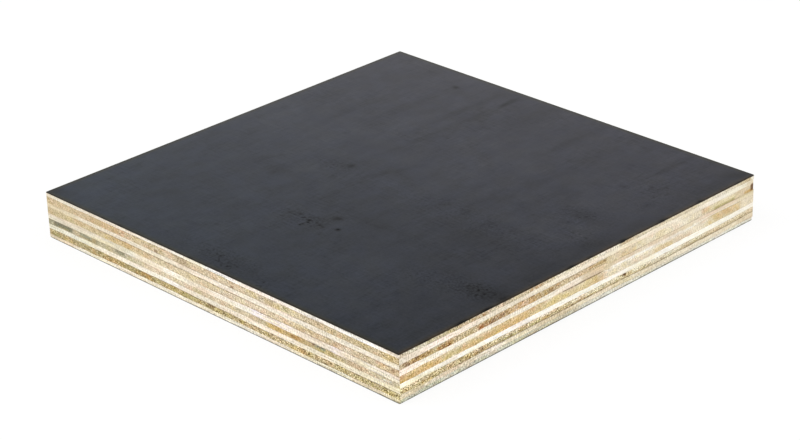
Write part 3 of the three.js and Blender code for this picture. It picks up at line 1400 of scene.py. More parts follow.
def long_band_3() -> list[Veneer]:
    """The third veneer, which is laid from two strips with one figure."""
    stains = Stain.rows(
        front=(
            (0, 30, Wood.OAT, 0.8, 20), (0, 8, Wood.TAN, 0.3, 3), (20, 44, Wood.IVORY, 0.3, 5),
            (46, 76, Wood.OAT, 0.35, 6), (46, 74, Wood.MIST, 0.2, 6), (134, 143, Wood.PALE, 0.5, 3),
            (149, 158, Wood.IVORY, 0.35, 3), (95, 135, Wood.IVORY, 0.3, 20),
            (125, 135, Wood.IVORY, 0.35, 3),
        ),
        right=(
            (0, 14, Wood.SAND, 0.3, 4), (14, 18, Wood.SAGE, 0.4, 2), (6, 14, Wood.GOLD, 0.5, 2, 0.1, 0.8),
            (18, 24, Wood.GOLD, 0.5, 2, 0, 0.6), (26, 36, Wood.TAN, 0.4, 3),
            (26, 36, Wood.DRAB, 0.4, 2, 0, 0.7), (2.4, 5, Wood.RUST, 0.4, 0.8, 0.1, 0.6, 0.6),
            (6.5, 14, Wood.RUST, 0.35, 2.5, 0.1, 0.75, 0.6), (2.6, 4.2, Wood.BARK, 0.5, 0.5, 0.25, 0.6),
            (18, 23, Wood.BARK, 0.3, 1, 0.1, 0.7, 0.5), (37, 51, Wood.BARK, 0.25, 1, 0.1, 0.75, 0.5),
            (7.3, 8.6, Wood.BARK, 0.6, 0.5, 0.6, 0.95), (6, 7.6, Wood.BARK, 0.35, 0.5, 0.15, 0.4),
            (10.5, 13, Wood.BARK, 0.5, 0.6, 0.35, 0.6, 0.8), (18, 23, Wood.RUST, 0.65, 2, 0.05, 0.6, 0.9),
            (20.3, 22.2, Wood.BARK, 0.3, 0.8, 0.1, 0.5, 0.6), (21.8, 24, Wood.ROSE, 0.45, 0.8, 0.65, 1),
            (39, 41.5, Wood.RUST, 0.3, 0.8, 0, 0.3), (37.5, 50, Wood.RUST, 0.45, 3, 0, 0.65, 0.9),
            (37, 38.4, Wood.RUST, 0.6, 0.5, 0.1, 0.5), (41.7, 43.6, Wood.BARK, 0.6, 0.7, 0.1, 0.5, 0.6),
            (46.8, 50, Wood.BARK, 0.4, 1, 0.3, 0.7, 0.7), (52, 62, Wood.ROSE, 0.4, 3, 0, 0.7),
            (51, 61, Wood.OCHRE, 0.45, 3, 0, 1, 1.4), (62, 75, Wood.OCHRE, 0.5, 2.5, 0, 0.85, 1.6),
            (70.4, 71.8, Wood.BARK, 0.4, 0.8, 0.2, 0.6), (77, 92, Wood.TAN, 0.6, 3),
            (84, 89, Wood.ROSE, 0.4, 2, 0, 0.6), (88, 98, Wood.SAND, 0.5, 2),
            (91, 98.6, Wood.OCHRE, 0.45, 1.2, 0.5, 0.65), (99.5, 112, Wood.TAN, 0.55, 3),
            (104, 116, Wood.STRAW, 0.55, 3, 0, 0.9, 2.5), (108, 114, Wood.GOLD, 0.3, 2, 0, 0.5, 1.4),
            (127, 135, Wood.TAN, 0.2, 3), (132, 142, Wood.CREAM, 0.45, 4),
            (151, 154, Wood.ROSE, 0.5, 1.5, 0.5, 1), (151.5, 155, Wood.OCHRE, 0.3, 1.5, 0.3, 0.6),
            (151.5, 160, Wood.DRAB, 0.55, 1.5, 0.72, 0.9, 1.2), (156, 170, Wood.STRAW, 0.65, 4, 0, 0.7),
            (158, 168, Wood.OLIVE, 0.6, 2, 0.05, 0.25), (171, 180, Wood.TAN, 0.6, 3),
            (175.5, 180, Wood.GOLD, 0.7, 2, 0, 0.35), (176.5, 179, Wood.RUST, 0.2, 1, 0, 0.25),
            # The dark at the notched back right corner is painted shadow in the notch.
            (178.3, 179.6, Wood.BARK, 0.85, 0.5, 0.25, 1),
        ),
    )
    return [
        Veneer(
            "long_band_3_front_strip", "long_band", GLUE_LINES[2], GLUE_LINES[3],
            SawnPoplarVeneer(Grain.ALONG_X, mottle=0.75, pores=0.7, checks=0.35, streaks=0.45, saw=1.05),
            Wood.SAND, Wood.CREAM,
            stains,
        ),
        Veneer(
            "long_band_3_back_strip", "long_band", GLUE_LINES[2], GLUE_LINES[3],
            SawnPoplarVeneer(Grain.ALONG_X, mottle=0.45, pores=0.3, checks=0.2, streaks=0.45, saw=0.85),
            Wood.OAT, Wood.CREAM,
            stains,
            radii={Corner.BACK_RIGHT: 0.7}, recess=0,
        ),
    ]


def crossband_4() -> Veneer:
    """The crossband over the centre."""
    return Veneer(
        "crossband_4", "crossband", GLUE_LINES[3], GLUE_LINES[4],
        SawnPoplarVeneer(
            Grain.ALONG_Y, mottle=0.64, pores=0.4, checks=0.28, check_spacing=0.6, streaks=0.4, saw=1,
            fibre=0.46,
        ),
        Wood.TAN, Wood.IVORY,
        Stain.rows(
            front=(
                (0, 56, Wood.SAND, 0.7, 6), (0, 30, Wood.DRAB, 0.45, 5),
                (36, 56, Wood.GOLD, 0.4, 5, 0, 1, 3), (36, 50, Wood.OCHRE, 0.3, 4),
                (50, 60, Wood.OAT, 0.3, 3), (0, 60, Wood.STRAW, 0.3, 10), (60, 84, Wood.PALE, 0.2, 6),
                (96, 106, Wood.PALE, 0.3, 3), (150, 157, Wood.CREAM, 0.35, 2),
                (62, 100, Wood.STRAW, 0.2, 8), (96, 128, Wood.ROSE, 0.4, 8, 0, 1, 2.4),
                (96, 134, Wood.OAT, 0.5, 6), (118, 130, Wood.TAN, 0.65, 3),
                (126.5, 130, Wood.OCHRE, 0.3, 1, 0, 0.3), (134, 150, Wood.RUST, 0.24, 4, 0, 0.6, 0.8),
                (149.3, 150.8, Wood.RUST, 0.12, 0.6, 0, 0.25), (141, 151, Wood.SAND, 0.4, 3),
                (170, 173.5, Wood.ROSE, 0.6, 1, 0.6, 1), (172, 180, Wood.GOLD, 0.15, 3, 0, 0.9),
                (176.6, 177.6, Wood.BARK, 0.4, 0.4, 0.4, 0.75),
            ),
            right=(
                (8, 76, Wood.STRAW, 0.13, 5), (74, 88, Wood.CREAM, 0.7, 4), (89, 112, Wood.TAN, 0.7, 5),
                (92, 97, Wood.ROSE, 0.25, 2, 0.3, 1), (101, 180, Wood.OAT, 0.75, 2, 0.3, 1),
                (102, 146, Wood.ROSE, 0.22, 4, 0.55, 1, 3), (103, 151, Wood.MILK, 0.8, 3, 0, 0.28),
                (78, 96, Wood.BARK, 0.12, 2, 0, 0.1), (125, 140, Wood.TAN, 0.3, 3),
                (142, 156, Wood.IVORY, 0.3, 3), (140, 145, Wood.TAN, 0.4, 1.5, 0.35, 0.8),
                (172, 180, Wood.STRAW, 0.6, 3), (150, 180, Wood.PALE, 0.6, 4, 0, 0.4),
                (150, 168, Wood.ROSE, 0.25, 5, 0.4, 1),
            ),
        ),
        recess=0,
    )


def centre_veneer_5() -> Veneer:
    """The thick veneer in the middle."""
    return Veneer(
        "centre_veneer_5", "long_band", GLUE_LINES[4], GLUE_LINES[5],
        SawnPoplarVeneer(Grain.ALONG_X, mottle=0.4, pores=0.25, checks=0.12, hue=0.7, saw=1.1),
        Wood.TAN, Wood.CREAM,
        Stain.rows(
            front=(
                (0, 46, Wood.MIST, 0.75, 6), (0, 40, Wood.OAT, 0.4, 8), (52, 66, Wood.PALE, 0.7, 4),
                (66, 76, Wood.IVORY, 0.8, 4), (78, 92, Wood.PALE, 0.35, 4), (94, 136, Wood.IVORY, 0.55, 8),
                (105, 114, Wood.MILK, 0.4, 4), (112, 128, Wood.BLUSH, 0.5, 3), (120, 142, Wood.OAT, 0.2, 4),
                (150, 158, Wood.BLUSH, 0.5, 3), (150, 158, Wood.TAN, 0.1, 3), (157, 165, Wood.OAT, 0.4, 3),
                (165, 174, Wood.IVORY, 0.5, 4),
            ),
            right=(
                (0, 16, Wood.GOLD, 0.3, 5), (0, 60, Wood.SAND, 0.2, 6), (0, 23, Wood.OCHRE, 0.4, 4),
                (29, 37, Wood.OCHRE, 0.2, 2), (37, 46, Wood.STRAW, 0.4, 2.5), (7, 15, Wood.ROSE, 0.3, 2),
                (0, 96, Wood.GOLD, 0.4, 4, 0, 0.55), (2, 96, Wood.OAT, 0.35, 5, 0.75, 1),
                (20, 26, Wood.STRAW, 0.5, 3), (22, 27, Wood.OLIVE, 0.25, 1.5, 0.1, 0.6),
                (22, 25, Wood.CREAM, 0.55, 1, 0, 0.12), (36, 44, Wood.OLIVE, 0.15, 2, 0.1, 0.6),
                (44, 66, Wood.GOLD, 0.4, 4), (59, 62, Wood.OCHRE, 0.4, 1, 0.3, 0.8),
                (52, 62, Wood.ROSE, 0.2, 3), (89, 97, Wood.GOLD, 0.15, 2),
                (62, 90, Wood.STRAW, 0.55, 5, 0, 0.7), (100, 152, Wood.OAT, 0.85, 4),
                (96, 106, Wood.PALE, 0.3, 2), (108, 122, Wood.PALE, 0.4, 4, 0.4, 1),
                (101, 143, Wood.MILK, 0.35, 4, 0.9, 1), (126, 133, Wood.GOLD, 0.3, 3, 0, 0.6),
                (146, 156, Wood.PALE, 0.8, 3), (156, 171, Wood.STRAW, 0.5, 3),
                (155, 161.5, Wood.GOLD, 0.35, 2, 0.1, 0.9, 2), (163, 171, Wood.GOLD, 0.3, 2, 0.1, 0.9, 2),
                (174, 180, Wood.PALE, 0.8, 3),
            ),
        ),
        recess=0,
    )


def crossband_6() -> Veneer:
    """The crossband under the centre, with mineral streaks at the front."""
    return Veneer(
        "crossband_6", "crossband", GLUE_LINES[5], GLUE_LINES[6],
        SawnPoplarVeneer(Grain.ALONG_Y, mottle=0.55, pores=0.45, checks=0.25, streaks=0.35, saw=0.75),
        Wood.TAN, Wood.IVORY,
        Stain.rows(
            front=(
                (0, 48, Wood.SAGE, 0.8, 4), (30, 36, Wood.TAN, 0.6, 3),
                (4.5, 13, Wood.STONE, 0.95, 2.5, 0.3, 0.85), (1, 14, Wood.STONE, 0.6, 2, 0.2, 1, 1.3),
                (4, 12, Wood.OLIVE, 0.4, 2, 0, 0.4, 1.5), (19, 24, Wood.TEAL, 0.22, 1.5, 0.55, 1),
                (18.5, 27, Wood.STONE, 0.4, 2, 0.35, 1), (14.5, 18, Wood.ROSE, 0.25, 1),
                (18, 28, Wood.OCHRE, 0.2, 2, 0, 0.4), (25.6, 27.4, Wood.OCHRE, 0.4, 0.8, 0.5, 1),
                (28, 34, Wood.SAGE, 0.5, 2), (39, 43, Wood.STONE, 0.65, 1.5, 0.55, 0.95),
                (45, 52, Wood.PALE, 0.45, 3), (51, 61, Wood.SAGE, 0.35, 2.5),
                (46, 54, Wood.OLIVE, 0.2, 2, 0.2, 0.9), (55, 62, Wood.ROSE, 0.3, 2),
                (65, 72, Wood.OLIVE, 0.12, 2), (60, 76, Wood.PALE, 0.35, 3), (76, 80, Wood.ROSE, 0.35, 1.2),
                (80.5, 84, Wood.OLIVE, 0.3, 1), (52, 112, Wood.OAT, 0.3, 8),
                (112, 119, Wood.SAGE, 0.35, 3, 0, 1, 1), (104, 121, Wood.SAGE, 0.4, 3),
                (110, 121, Wood.SAND, 0.3, 3), (120, 137, Wood.GOLD, 0.65, 4),
                (122, 136, Wood.OCHRE, 0.3, 2, 0.2, 0.8, 2.4), (127, 142, Wood.STONE, 0.15, 3),
                (129.5, 133.5, Wood.RUST, 0.4, 1, 0.4, 0.7), (138, 149, Wood.DRAB, 0.7, 5),
                (139.2, 140.8, Wood.BARK, 0.6, 0.4, 0.65, 1, 0.8),
                (141, 145.5, Wood.TEAL, 0.65, 0.8, 0.6, 1, 0.7),
                (142, 145, Wood.PITCH, 0.4, 0.6, 0.7, 1, 0.6), (148, 156, Wood.DRAB, 0.4, 3),
                (156, 180, Wood.SAGE, 0.3, 4), (142, 145, Wood.OLIVE, 0.4, 1, 0, 0.4),
                (172.5, 176, Wood.MIST, 0.8, 0.8, 0.3, 1, 0.8),
            ),
            right=(
                (14, 180, Wood.MILK, 0.3, 4), (6, 24, Wood.CREAM, 0.6, 4), (44, 60, Wood.MILK, 0.6, 4),
                (111, 126, Wood.CREAM, 0.6, 4), (126, 136, Wood.MILK, 0.5, 3),
                (170, 178, Wood.CREAM, 0.3, 3),
            ),
        ),
        long_lift=OPEN_SIDES,
    )


def long_band_7() -> Veneer:
    """The coarse long band that has lost a knot at the right edge."""
    return Veneer(
        "long_band_7", "long_band", GLUE_LINES[6], GLUE_LINES[7],
        SawnPoplarVeneer(Grain.ALONG_X, mottle=0.95, pores=0.85, checks=0.45, streaks=0.4, saw=1.15),
        Wood.OAT, Wood.CREAM,
        Stain.rows(
            front=(
                (0, 22, Wood.MIST, 0.6, 8), (36, 45, Wood.PALE, 0.6, 3), (44, 78, Wood.IVORY, 0.5, 6),
                (66, 75, Wood.MILK, 0.8, 3), (74, 83, Wood.OAT, 0.35, 3), (83, 100, Wood.IVORY, 0.3, 4),
                (86, 100, Wood.PALE, 0.35, 5), (111, 124, Wood.CREAM, 0.5, 4),
                (126, 144, Wood.CREAM, 0.4, 4), (134, 142, Wood.STRAW, 0.2, 3),
                (146, 180, Wood.PALE, 0.65, 8),
            ),
            right=(
                (0, 110, Wood.SAND, 0.75, 6, 0.3, 1), (0, 180, Wood.DRAB, 0.7, 6, 0, 0.35),
                (2, 5, Wood.OCHRE, 0.35, 1.5, 0.1, 0.6, 0.8), (10, 14, Wood.OCHRE, 0.45, 1.5, 0, 0.5, 0.9),
                (27.5, 39, Wood.OCHRE, 0.45, 2, 0, 0.55, 1), (28, 31, Wood.BARK, 0.35, 1, 0.1, 0.5, 0.7),
                (34.5, 38, Wood.BARK, 0.35, 1, 0.1, 0.5, 0.7), (46.5, 53, Wood.OLIVE, 0.5, 1.5, 0, 0.45),
                (55.5, 58, Wood.OLIVE, 0.5, 1, 0, 0.4), (61.5, 65.5, Wood.OLIVE, 0.55, 1, 0, 0.4),
                (67, 70, Wood.OCHRE, 0.45, 1, 0, 0.4), (76.5, 88, Wood.OCHRE, 0.3, 2, 0, 0.25),
                (44, 53, Wood.PALE, 0.4, 3, 0.4, 1), (82, 94, Wood.CREAM, 0.4, 4, 0.35, 1),
                (21, 29, Wood.DRAB, 0.4, 2), (96, 114, Wood.MIST, 0.3, 4, 0.2, 1),
                (124, 137, Wood.MIST, 0.35, 3, 0.1, 1), (139, 152, Wood.SAGE, 0.15, 3, 0.1, 1),
                (157, 180, Wood.TAN, 0.5, 5), (39, 46, Wood.DRAB, 0.6, 3),
                (35.2, 37.6, Wood.PALE, 0.7, 0.8, 0.75, 1), (66.5, 70, Wood.MILK, 0.45, 1, 0.85, 1),
                # The dark in the knot's hole is painted shade of the hole.
                (107.8, 109.2, Wood.BARK, 0.95, 0.5, 0.5, 0.85),
                (109.6, 112, Wood.OCHRE, 0.35, 1.4, 0.4, 0.75), (90, 116, Wood.OCHRE, 0.3, 3, 0, 0.12),
            ),
        ),
        (Chip(Edge.RIGHT, 108.5, 1.2, 0.8, 0.5, 0.85),),
        end_lift=OPEN_ENDS, long_lift=OPEN_SIDES,
    )


def crossband_8() -> Veneer:
    """The open-grained crossband over the back veneer."""
    return Veneer(
        "crossband_8", "crossband", GLUE_LINES[7], GLUE_LINES[8],
        SawnPoplarVeneer(
            Grain.ALONG_Y, mottle=1.2, pores=0.85, checks=0.45, check_spacing=0.6, streaks=0.4, hue=0.6,
            saw=1.5, fibre=0.48,
        ),
        Wood.DRAB, Wood.PALE,
        Stain.rows(
            front=(
                (2, 6, Wood.OLIVE, 0.5, 2, 0, 0.5), (9, 14, Wood.GOLD, 0.45, 2, 0, 0.6, 2),
                (23, 28, Wood.OCHRE, 0.5, 2, 0, 1, 1.6), (31, 58, Wood.OLIVE, 0.4, 5, 0, 1, 1.4),
                (0, 24, Wood.STONE, 0.1, 4), (34, 56, Wood.OCHRE, 0.3, 4), (44, 53, Wood.STONE, 0.25, 2),
                (66, 76, Wood.OCHRE, 0.2, 2), (164, 173, Wood.BARK, 0.25, 2, 0, 1, 0.8),
                (75, 83, Wood.OLIVE, 0.5, 2), (120, 174, Wood.SAND, 0.4, 5), (148, 166, Wood.DRAB, 0.5, 3),
                (50, 56, Wood.OCHRE, 0.6, 2, 0.2, 1, 1.6), (62, 70, Wood.OLIVE, 0.5, 3, 0, 0.7, 1.6),
                (99, 126, Wood.SAND, 0.4, 6), (84, 96, Wood.OLIVE, 0.15, 4, 0, 0.5, 1.2),
                (88, 90.5, Wood.BARK, 0.45, 0.8, 0.5, 1), (104, 105.8, Wood.OLIVE, 0.8, 0.6, 0.3, 0.8),
                (130, 136, Wood.GOLD, 0.4, 3, 0, 0.6), (162, 180, Wood.OLIVE, 0.35, 4, 0, 1, 1.2),
                (177, 180, Wood.DRAB, 0.5, 1, 0, 0.5),
            ),
            right=(
                (0, 8, Wood.SAND, 0.4, 3), (22, 37, Wood.OAT, 0.45, 3), (37, 53, Wood.BLUSH, 0.35, 3),
                (37, 53, Wood.CREAM, 0.4, 3), (96, 104, Wood.OAT, 0.4, 4), (103, 111, Wood.STRAW, 0.5, 2),
                (10, 14, Wood.OCHRE, 0.3, 1, 0.85, 1), (172, 180, Wood.TAN, 0.4, 3),
                (66, 81, Wood.TAN, 0.6, 4), (120, 127, Wood.TAN, 0.25, 3), (127, 148, Wood.CREAM, 0.4, 6),
            ),
        ),
        roughness=0.09, end_lift=OPEN_ENDS, long_lift=OPEN_SIDES,
    )


def back_veneer_9() -> Veneer:
    """The sanded back veneer, knocked at its back right corner."""
    return Veneer(
        "back_veneer_9", "sanded_veneer", GLUE_LINES[8], GLUE_LINES[9],
        SawnPoplarVeneer(Grain.ALONG_X, mottle=0.45, pores=0.4, checks=0.2, streaks=0.6, saw=1.35),
        Wood.OAT, Wood.CREAM,
        Stain.rows(
            front=(
                (0, 16, Wood.OAT, 0.8, 4), (52, 60, Wood.PALE, 0.6, 3), (16, 31, Wood.IVORY, 0.5, 3),
                (90, 97, Wood.OAT, 0.35, 3), (104, 180, Wood.PALE, 0.75, 12),
                (98, 112, Wood.IVORY, 0.55, 3), (112, 122, Wood.CREAM, 0.4, 3),
                (141, 156, Wood.IVORY, 0.35, 4), (158, 166, Wood.TAN, 0.7, 2),
                (144, 180, Wood.OAT, 0.45, 8, 0, 0.5), (168, 180, Wood.OAT, 0.7, 5),
                (150, 157, Wood.MIST, 0.4, 2), (172, 180, Wood.SAGE, 0.15, 3), (78, 90, Wood.OAT, 0.5, 4),
            ),
            right=(
                (0, 16, Wood.SAGE, 0.75, 4), (58, 84, Wood.SAGE, 0.4, 4), (0, 84, Wood.SAGE, 0.45, 4),
                (0, 62, Wood.MIST, 0.3, 6), (58, 78, Wood.DRAB, 0.35, 4, 0, 0.6),
                (66, 75, Wood.PALE, 0.35, 3, 0.3, 1), (78, 112, Wood.PALE, 0.45, 5),
                (87, 98, Wood.MIST, 0.4, 4), (98, 128, Wood.MIST, 0.55, 5), (136, 176, Wood.MIST, 0.7, 6),
                (148, 164, Wood.IVORY, 0.45, 5), (165, 180, Wood.MIST, 0.45, 4),
            ),
        ),
        radii={Corner.BACK_RIGHT: 0.9}, end_lift=SANDED_ENDS, long_lift=OPEN_SIDES,
    )


def veneers() -> list[Veneer]:
    """The nine veneers from the top down."""
    return [
        face_veneer_1(), crossband_2(), *long_band_3(), crossband_4(), centre_veneer_5(), crossband_6(),
        long_band_7(), crossband_8(), back_veneer_9(),
    ]


def top_film() -> Film:
    """The film on the top face."""
    return Film(
        "top_film", "phenolic_film", True,
        fine_zones=(Zone(-14, -50, 13.5, -31),),
        rim_tones=dict.fromkeys(Edge, "#241e03") | {Edge.RIGHT: "#3b2702"},
        cures={
            Corner.FRONT_LEFT: Cure("#071e32", 0.92, 0.35),
            Corner.FRONT_RIGHT: Cure("#0e1827", 0.92, 0.6),
            Corner.BACK_RIGHT: Cure("#141529", 1.0, 0.3),
            Corner.BACK_LEFT: Cure("#16172c", 1.14, 0.2),
        },
        marks=film_marks(
            (-78.5, 38, 28, 8, -0.26, 90), (-61, 30, 34, 4, -0.16, 90), (-47.5, 68, 28, 5, -0.16, 90),
            (-47.5, 41, 34, 7, -0.22, 90), (-66, 80, 16, 6, -0.14, 90), (-19.8, 64, 10, 5, -0.2, 90),
            (-22, 38, 60, 4, -0.16, 88), (-18, 30, 16, 24, -0.1), (-29, 55, 50, 4, -0.16, 90),
            (-9, 5, 24, 4, -0.24, 68), (-5, 75, 22, 12, -0.24, 90), (21.5, 65, 24, 4, -0.2, 90),
            (22.3, 58, 3, 2.4, -0.2), (39.5, 59, 10, 8, -0.1), (38, 46, 44, 4, -0.16, 90),
            (32, 10, 16, 4, -0.2, 90), (63.8, 75, 20, 3, -0.34, 90), (67, 24.5, 13, 9, -0.34),
            (48, 35, 10, 8, -0.14), (82, 6, 14, 7, -0.2, 60), (86, 74, 30, 8, -0.16, 90),
            (55, -14, 50, 14, -0.2), (20, -29, 60, 6, -0.14), (-40, -20, 30, 6, -0.18),
            (-28, -3, 14, 7, -0.16), (-75, 5, 18, 1.8, 0.16), (60, 4, 34, 6, 0.12), (-50, 24, 26, 8, 0.1),
            (30, 14, 120, 60, 0.05), (8, -66, 50, 16, 0.07), (-68, -40, 22, 16, 0.07),
            (-68, 36, 44, 60, 0.1), (-36, -54, 56, 44, -0.1), (-36, -24, 40, 20, -0.06),
            (84, -30, 18, 60, -0.11), (20, 16, 60, 34, 0.07), (30, 60, 36, 40, 0.07),
            (-74, -87, 60, 8, -0.06), (-87, -87, 8, 5, -0.4, 45), (86, 86, 12, 7, -0.35, 45),
            (0, -84, 50, 9, -0.24), (78, -42, 15, 9, -0.34), (84, -40, 10, 12, -0.12),
            (-86, -20, 90, 7, 0.08, 90), (86, -10, 120, 10, -0.16, 90), (24, -2, 5, 3, -0.25, 60),
            (34, -1, 5, 4, -0.22, 90), (47, -2, 5, 4, -0.3, 80), (58, -1, 4, 5, -0.2, 90),
            (66, -2, 5, 5, -0.26, 90), (65.6, 15.6, 3.6, 1.6, -0.3, 20), (61.4, 51.2, 2.4, 2.8, -0.4, 90),
            (69.6, 57.2, 4.5, 1.8, -0.4, 135), (73.5, 60.4, 2.4, 1.8, -0.35), (77.2, 56.6, 2.2, 2, -0.3),
            (77.8, 44.4, 2.4, 2, -0.25, 90), (4.9, -35, 4.2, 3, -0.6, 50), (11, -41, 2.2, 2, -0.95),
            (-4.75, -42, 1.1, 1, -0.8), (-1.9, -42.4, 2.2, 1.4, -0.9), (-1, -44, 1.4, 1.2, -0.9),
            (-1.6, -45.8, 1.2, 1, -0.85), (-1.8, -47.1, 1.3, 1.1, -0.9), (-2.6, -40.4, 2.6, 0.9, -0.4, 20),
            (-0.4, -39.3, 1.6, 0.8, -0.35, 110), (1.6, -42, 1.8, 0.9, -0.5, 140),
            (3.9, -42.8, 2.2, 1.6, -0.6, 140), (6, -43.4, 2, 1.6, -0.45, 90),
            (8.9, -47.8, 1.6, 1.4, -0.35, 140), (-7.9, -41.2, 2.6, 2.4, -0.4, 90),
            (-12, -42.6, 2.2, 2.8, -0.3), (-46.6, 77.5, 3.2, 2.2, -0.65, 145),
            (-20.4, 77, 6, 2.2, -0.5, 94), (-20.6, 84, 12, 3.4, -0.2, 94), (-20.6, 82, 5, 3, -0.2, 90),
            (-24, -1, 3, 3.4, -0.5),
            # The saw has frayed the film's edge, which hangs over in black tatters.
            (89.8, -78, 1.4, 5, -0.7), (89.8, -61.4, 1.6, 6, -1), (89.8, -49.4, 1.8, 5.5, -1.2),
            (88.6, -40.5, 2.2, 6, -0.5), (89.8, -25.7, 1.4, 3, -0.7), (89.8, -8.2, 1.4, 4, -1.1),
            (89.8, 1.2, 1.4, 2, -0.8), (89.8, 18, 1.6, 4, -1.2), (89.8, 39, 1.6, 4, -1.2),
            (89.8, 59.5, 1.6, 3.6, -1.2), (89.8, 81, 1.4, 4, -0.6), (-48.5, -89.8, 2.4, 1.4, -0.8),
            (-26, -89.8, 1.6, 1.4, -0.5), (-10.8, -89.8, 2.2, 1.4, -0.8), (37, -89.8, 4, 1.4, -0.5),
            (-41, -24, 3, 4, -0.3),
        ),
        flecks=film_marks(
            (-3, -43, 24, 12, 1.2), (78, -42, 18, 10, 1.8), (62, -46, 24, 12, 1), (72, 54, 22, 22, 0.7),
            (66, 22, 24, 22, 0.7), (76, 10, 14, 10, 1), (40, -4, 62, 14, 0.7), (-28, -5, 16, 8, 0.8),
            (-2, -82, 40, 12, 1),
        ),
        specks=film_marks(
            (79, -42, 14, 8, 0.7), (60, -46, 18, 8, 0.15), (-4, -83, 6, 6, 0.5), (4, -85, 8, 6, 0.55),
            (22, -86.5, 8, 5, 0.5), (-9, -82, 8, 6, 0.3), (74, 54, 10, 16, 0.2), (58, 27, 9, 7, 0.15),
            (67, 24.5, 12, 9, 0.15), (76, 11, 7, 5, 0.35), (18.5, 38, 4, 4, 0.3), (20, -1, 28, 7, 0.18),
            (54, -4, 40, 9, 0.14), (-28, -5, 12, 6, 0.25), (-5, -43, 18, 9, 0.3),
        ),
    )


def bottom_film() -> Film:
    """The film underneath, worn back along the right edge."""
    return Film(
        "bottom_film", "phenolic_film", False,
        step=1.5, radii={Corner.FRONT_LEFT: 0.6, Corner.BACK_RIGHT: 1.3}, worn_right=0.35,
        side_tone="#69665c",
        marks=film_marks(
            (24, -90, 40, 4, -0.3), (72, -90, 34, 4, -0.4),
        ),
    )


def films() -> list[Film]:
    """The two films."""
    return [top_film(), bottom_film()]


# -------------------------------------------------------------------------------- studio


# The camera's sensor, lens, place and aim in mm, its roll in degrees, and the nearest and furthest that it
# sees, in metres.
SENSOR_WIDTH = 36.0
CAMERA_LENS = 111.39
CAMERA_PLACE = Vector((578.05, -561.93, 392.08))
CAMERA_AIM = Vector((8.24, -8.26, 9.0))
CAMERA_ROLL = 1.725
CAMERA_CLIP = (0.01, 50.0)


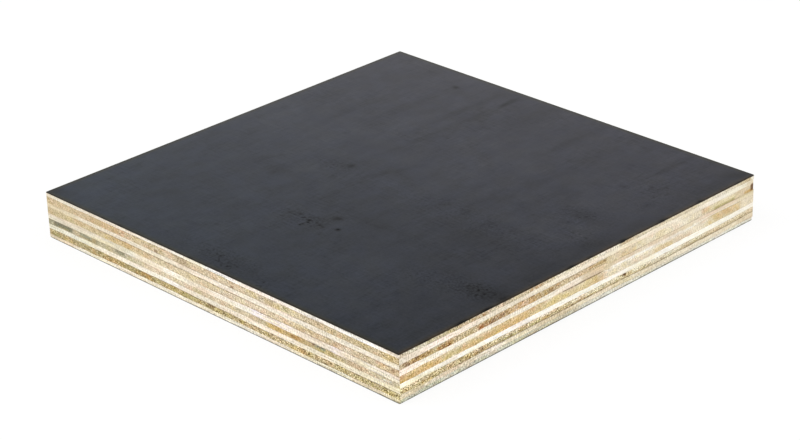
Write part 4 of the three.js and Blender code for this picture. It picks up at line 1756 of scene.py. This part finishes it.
@dataclass(frozen=True)
class Studio:
    """A white sweep, a soft sky and two broad lamps, with the camera low over the near corner."""

    floor_side: float = 12.0
    sky: float = 0.75
    key_power: float = 15.0
    fill_power: float = 9.0

    # Places and sizes in metres.
    KEY_PLACE = (-0.9, -1.1, 1.5)
    FILL_PLACE = (1.3, 0.5, 1.3)
    LAMP_SIDE = 1.6
    # How much of the floor's white is its own glow where it is seen.
    PAPER_GLOW = 0.85

    def build(self) -> None:
        """Sets the floor, the world, the lamps and the camera."""
        self.floor()
        self.world()
        self.lamp("key", Vector(self.KEY_PLACE), self.key_power)
        self.lamp("fill", Vector(self.FILL_PLACE), self.fill_power)
        self.camera()
        bpy.context.scene.view_settings.view_transform = "Standard"

    @staticmethod
    def white_to_camera(tree: bpy.types.NodeTree) -> Socket:
        """A value that is 1 for the rays that show the background: camera, mirror and glass rays.

        Args:
            tree: The node tree of the floor's material or of the world.

        Returns:
            The value.
        """
        path = add_node(tree, "LightPath")
        seen = path["Is Camera Ray"]
        for ray in ("Is Glossy Ray", "Is Transmission Ray"):
            seen = add_node(tree, "Math", {0: seen, 1: path[ray]}, operation="MAXIMUM")[0]
        return seen

    def floor(self) -> None:
        """A white floor that the camera sees as white paper, with a light shadow under the sheet."""
        bm = bmesh.new()
        bmesh.ops.create_grid(bm, x_segments=1, y_segments=1, size=self.floor_side / 2)
        mesh = bpy.data.meshes.new("floor")
        bm.to_mesh(mesh)
        bm.free()
        floor = bpy.data.objects.new("floor", mesh)
        bpy.context.scene.collection.objects.link(floor)
        paper = bpy.data.materials.new("white_paper_floor")
        tree = cleared_tree(paper)
        matt = add_node(tree, "BsdfDiffuse", {"Color": (0.9, 0.9, 0.9, 1)})[0]
        glow = add_node(tree, "Emission", {"Strength": 1.02})[0]
        seen = self.white_to_camera(tree)
        share = add_node(tree, "Math", {0: seen, 1: self.PAPER_GLOW}, operation="MULTIPLY")[0]
        mixed = add_node(tree, "MixShader", {0: share, 1: matt, 2: glow})[0]
        add_node(tree, "OutputMaterial", {"Surface": mixed})
        mesh.materials.append(paper)

    def world(self) -> None:
        """A backdrop that is white low down and dark overhead where it is seen, and an even sky."""
        world = bpy.data.worlds.new("studio")
        bpy.context.scene.world = world
        tree = cleared_tree(world)
        way = add_node(tree, "TexCoord")["Generated"]
        rise = add_node(tree, "SeparateXYZ", {0: way})["Z"]
        span = {"From Min": 0.26, "From Max": 0.54, "To Min": 1.0, "To Max": 0.0}
        backdrop = add_node(tree, "MapRange", {"Value": rise, **span})[0]
        seen = self.white_to_camera(tree)
        ends = {"To Min": self.sky, "To Max": backdrop}
        strength = add_node(tree, "MapRange", {"Value": seen, **ends})[0]
        light = add_node(tree, "Background", {"Color": (1, 1, 1, 1), "Strength": strength})[0]
        add_node(tree, "OutputWorld", {"Surface": light})

    def lamp(self, name: str, place: Vector, power: float) -> None:
        """Adds a square lamp aimed at the sheet.

        Args:
            name: The lamp's name.
            place: Its place in metres.
            power: Its power in watts.
        """
        data = bpy.data.lights.new(name, "AREA")
        data.shape = "SQUARE"
        data.size = self.LAMP_SIDE
        data.energy = power
        lamp = bpy.data.objects.new(name, data)
        lamp.location = place
        lamp.rotation_euler = (-place).to_track_quat("-Z", "Y").to_euler()
        bpy.context.scene.collection.objects.link(lamp)

    @staticmethod
    def camera() -> None:
        """A long lens over the near corner, turned by its small roll."""
        data = bpy.data.cameras.new("camera")
        data.sensor_width = SENSOR_WIDTH
        data.lens = CAMERA_LENS
        data.clip_start, data.clip_end = CAMERA_CLIP
        camera = bpy.data.objects.new("camera", data)
        forward = (CAMERA_AIM - CAMERA_PLACE).normalized()
        turn = forward.to_track_quat("-Z", "Y").to_matrix()
        turn = Matrix.Rotation(math.radians(CAMERA_ROLL), 3, forward) @ turn
        camera.matrix_world = Matrix.Translation(CAMERA_PLACE * MM) @ turn.to_4x4()
        bpy.context.scene.collection.objects.link(camera)
        bpy.context.scene.camera = camera


def main() -> None:
    """Builds the sheet and its studio."""
    logging.basicConfig(level=logging.INFO, format="%(name)s: %(message)s")
    for layer in (*films(), *veneers()):
        layer.build()
    Studio().build()


if __name__ == "__main__":
    main()
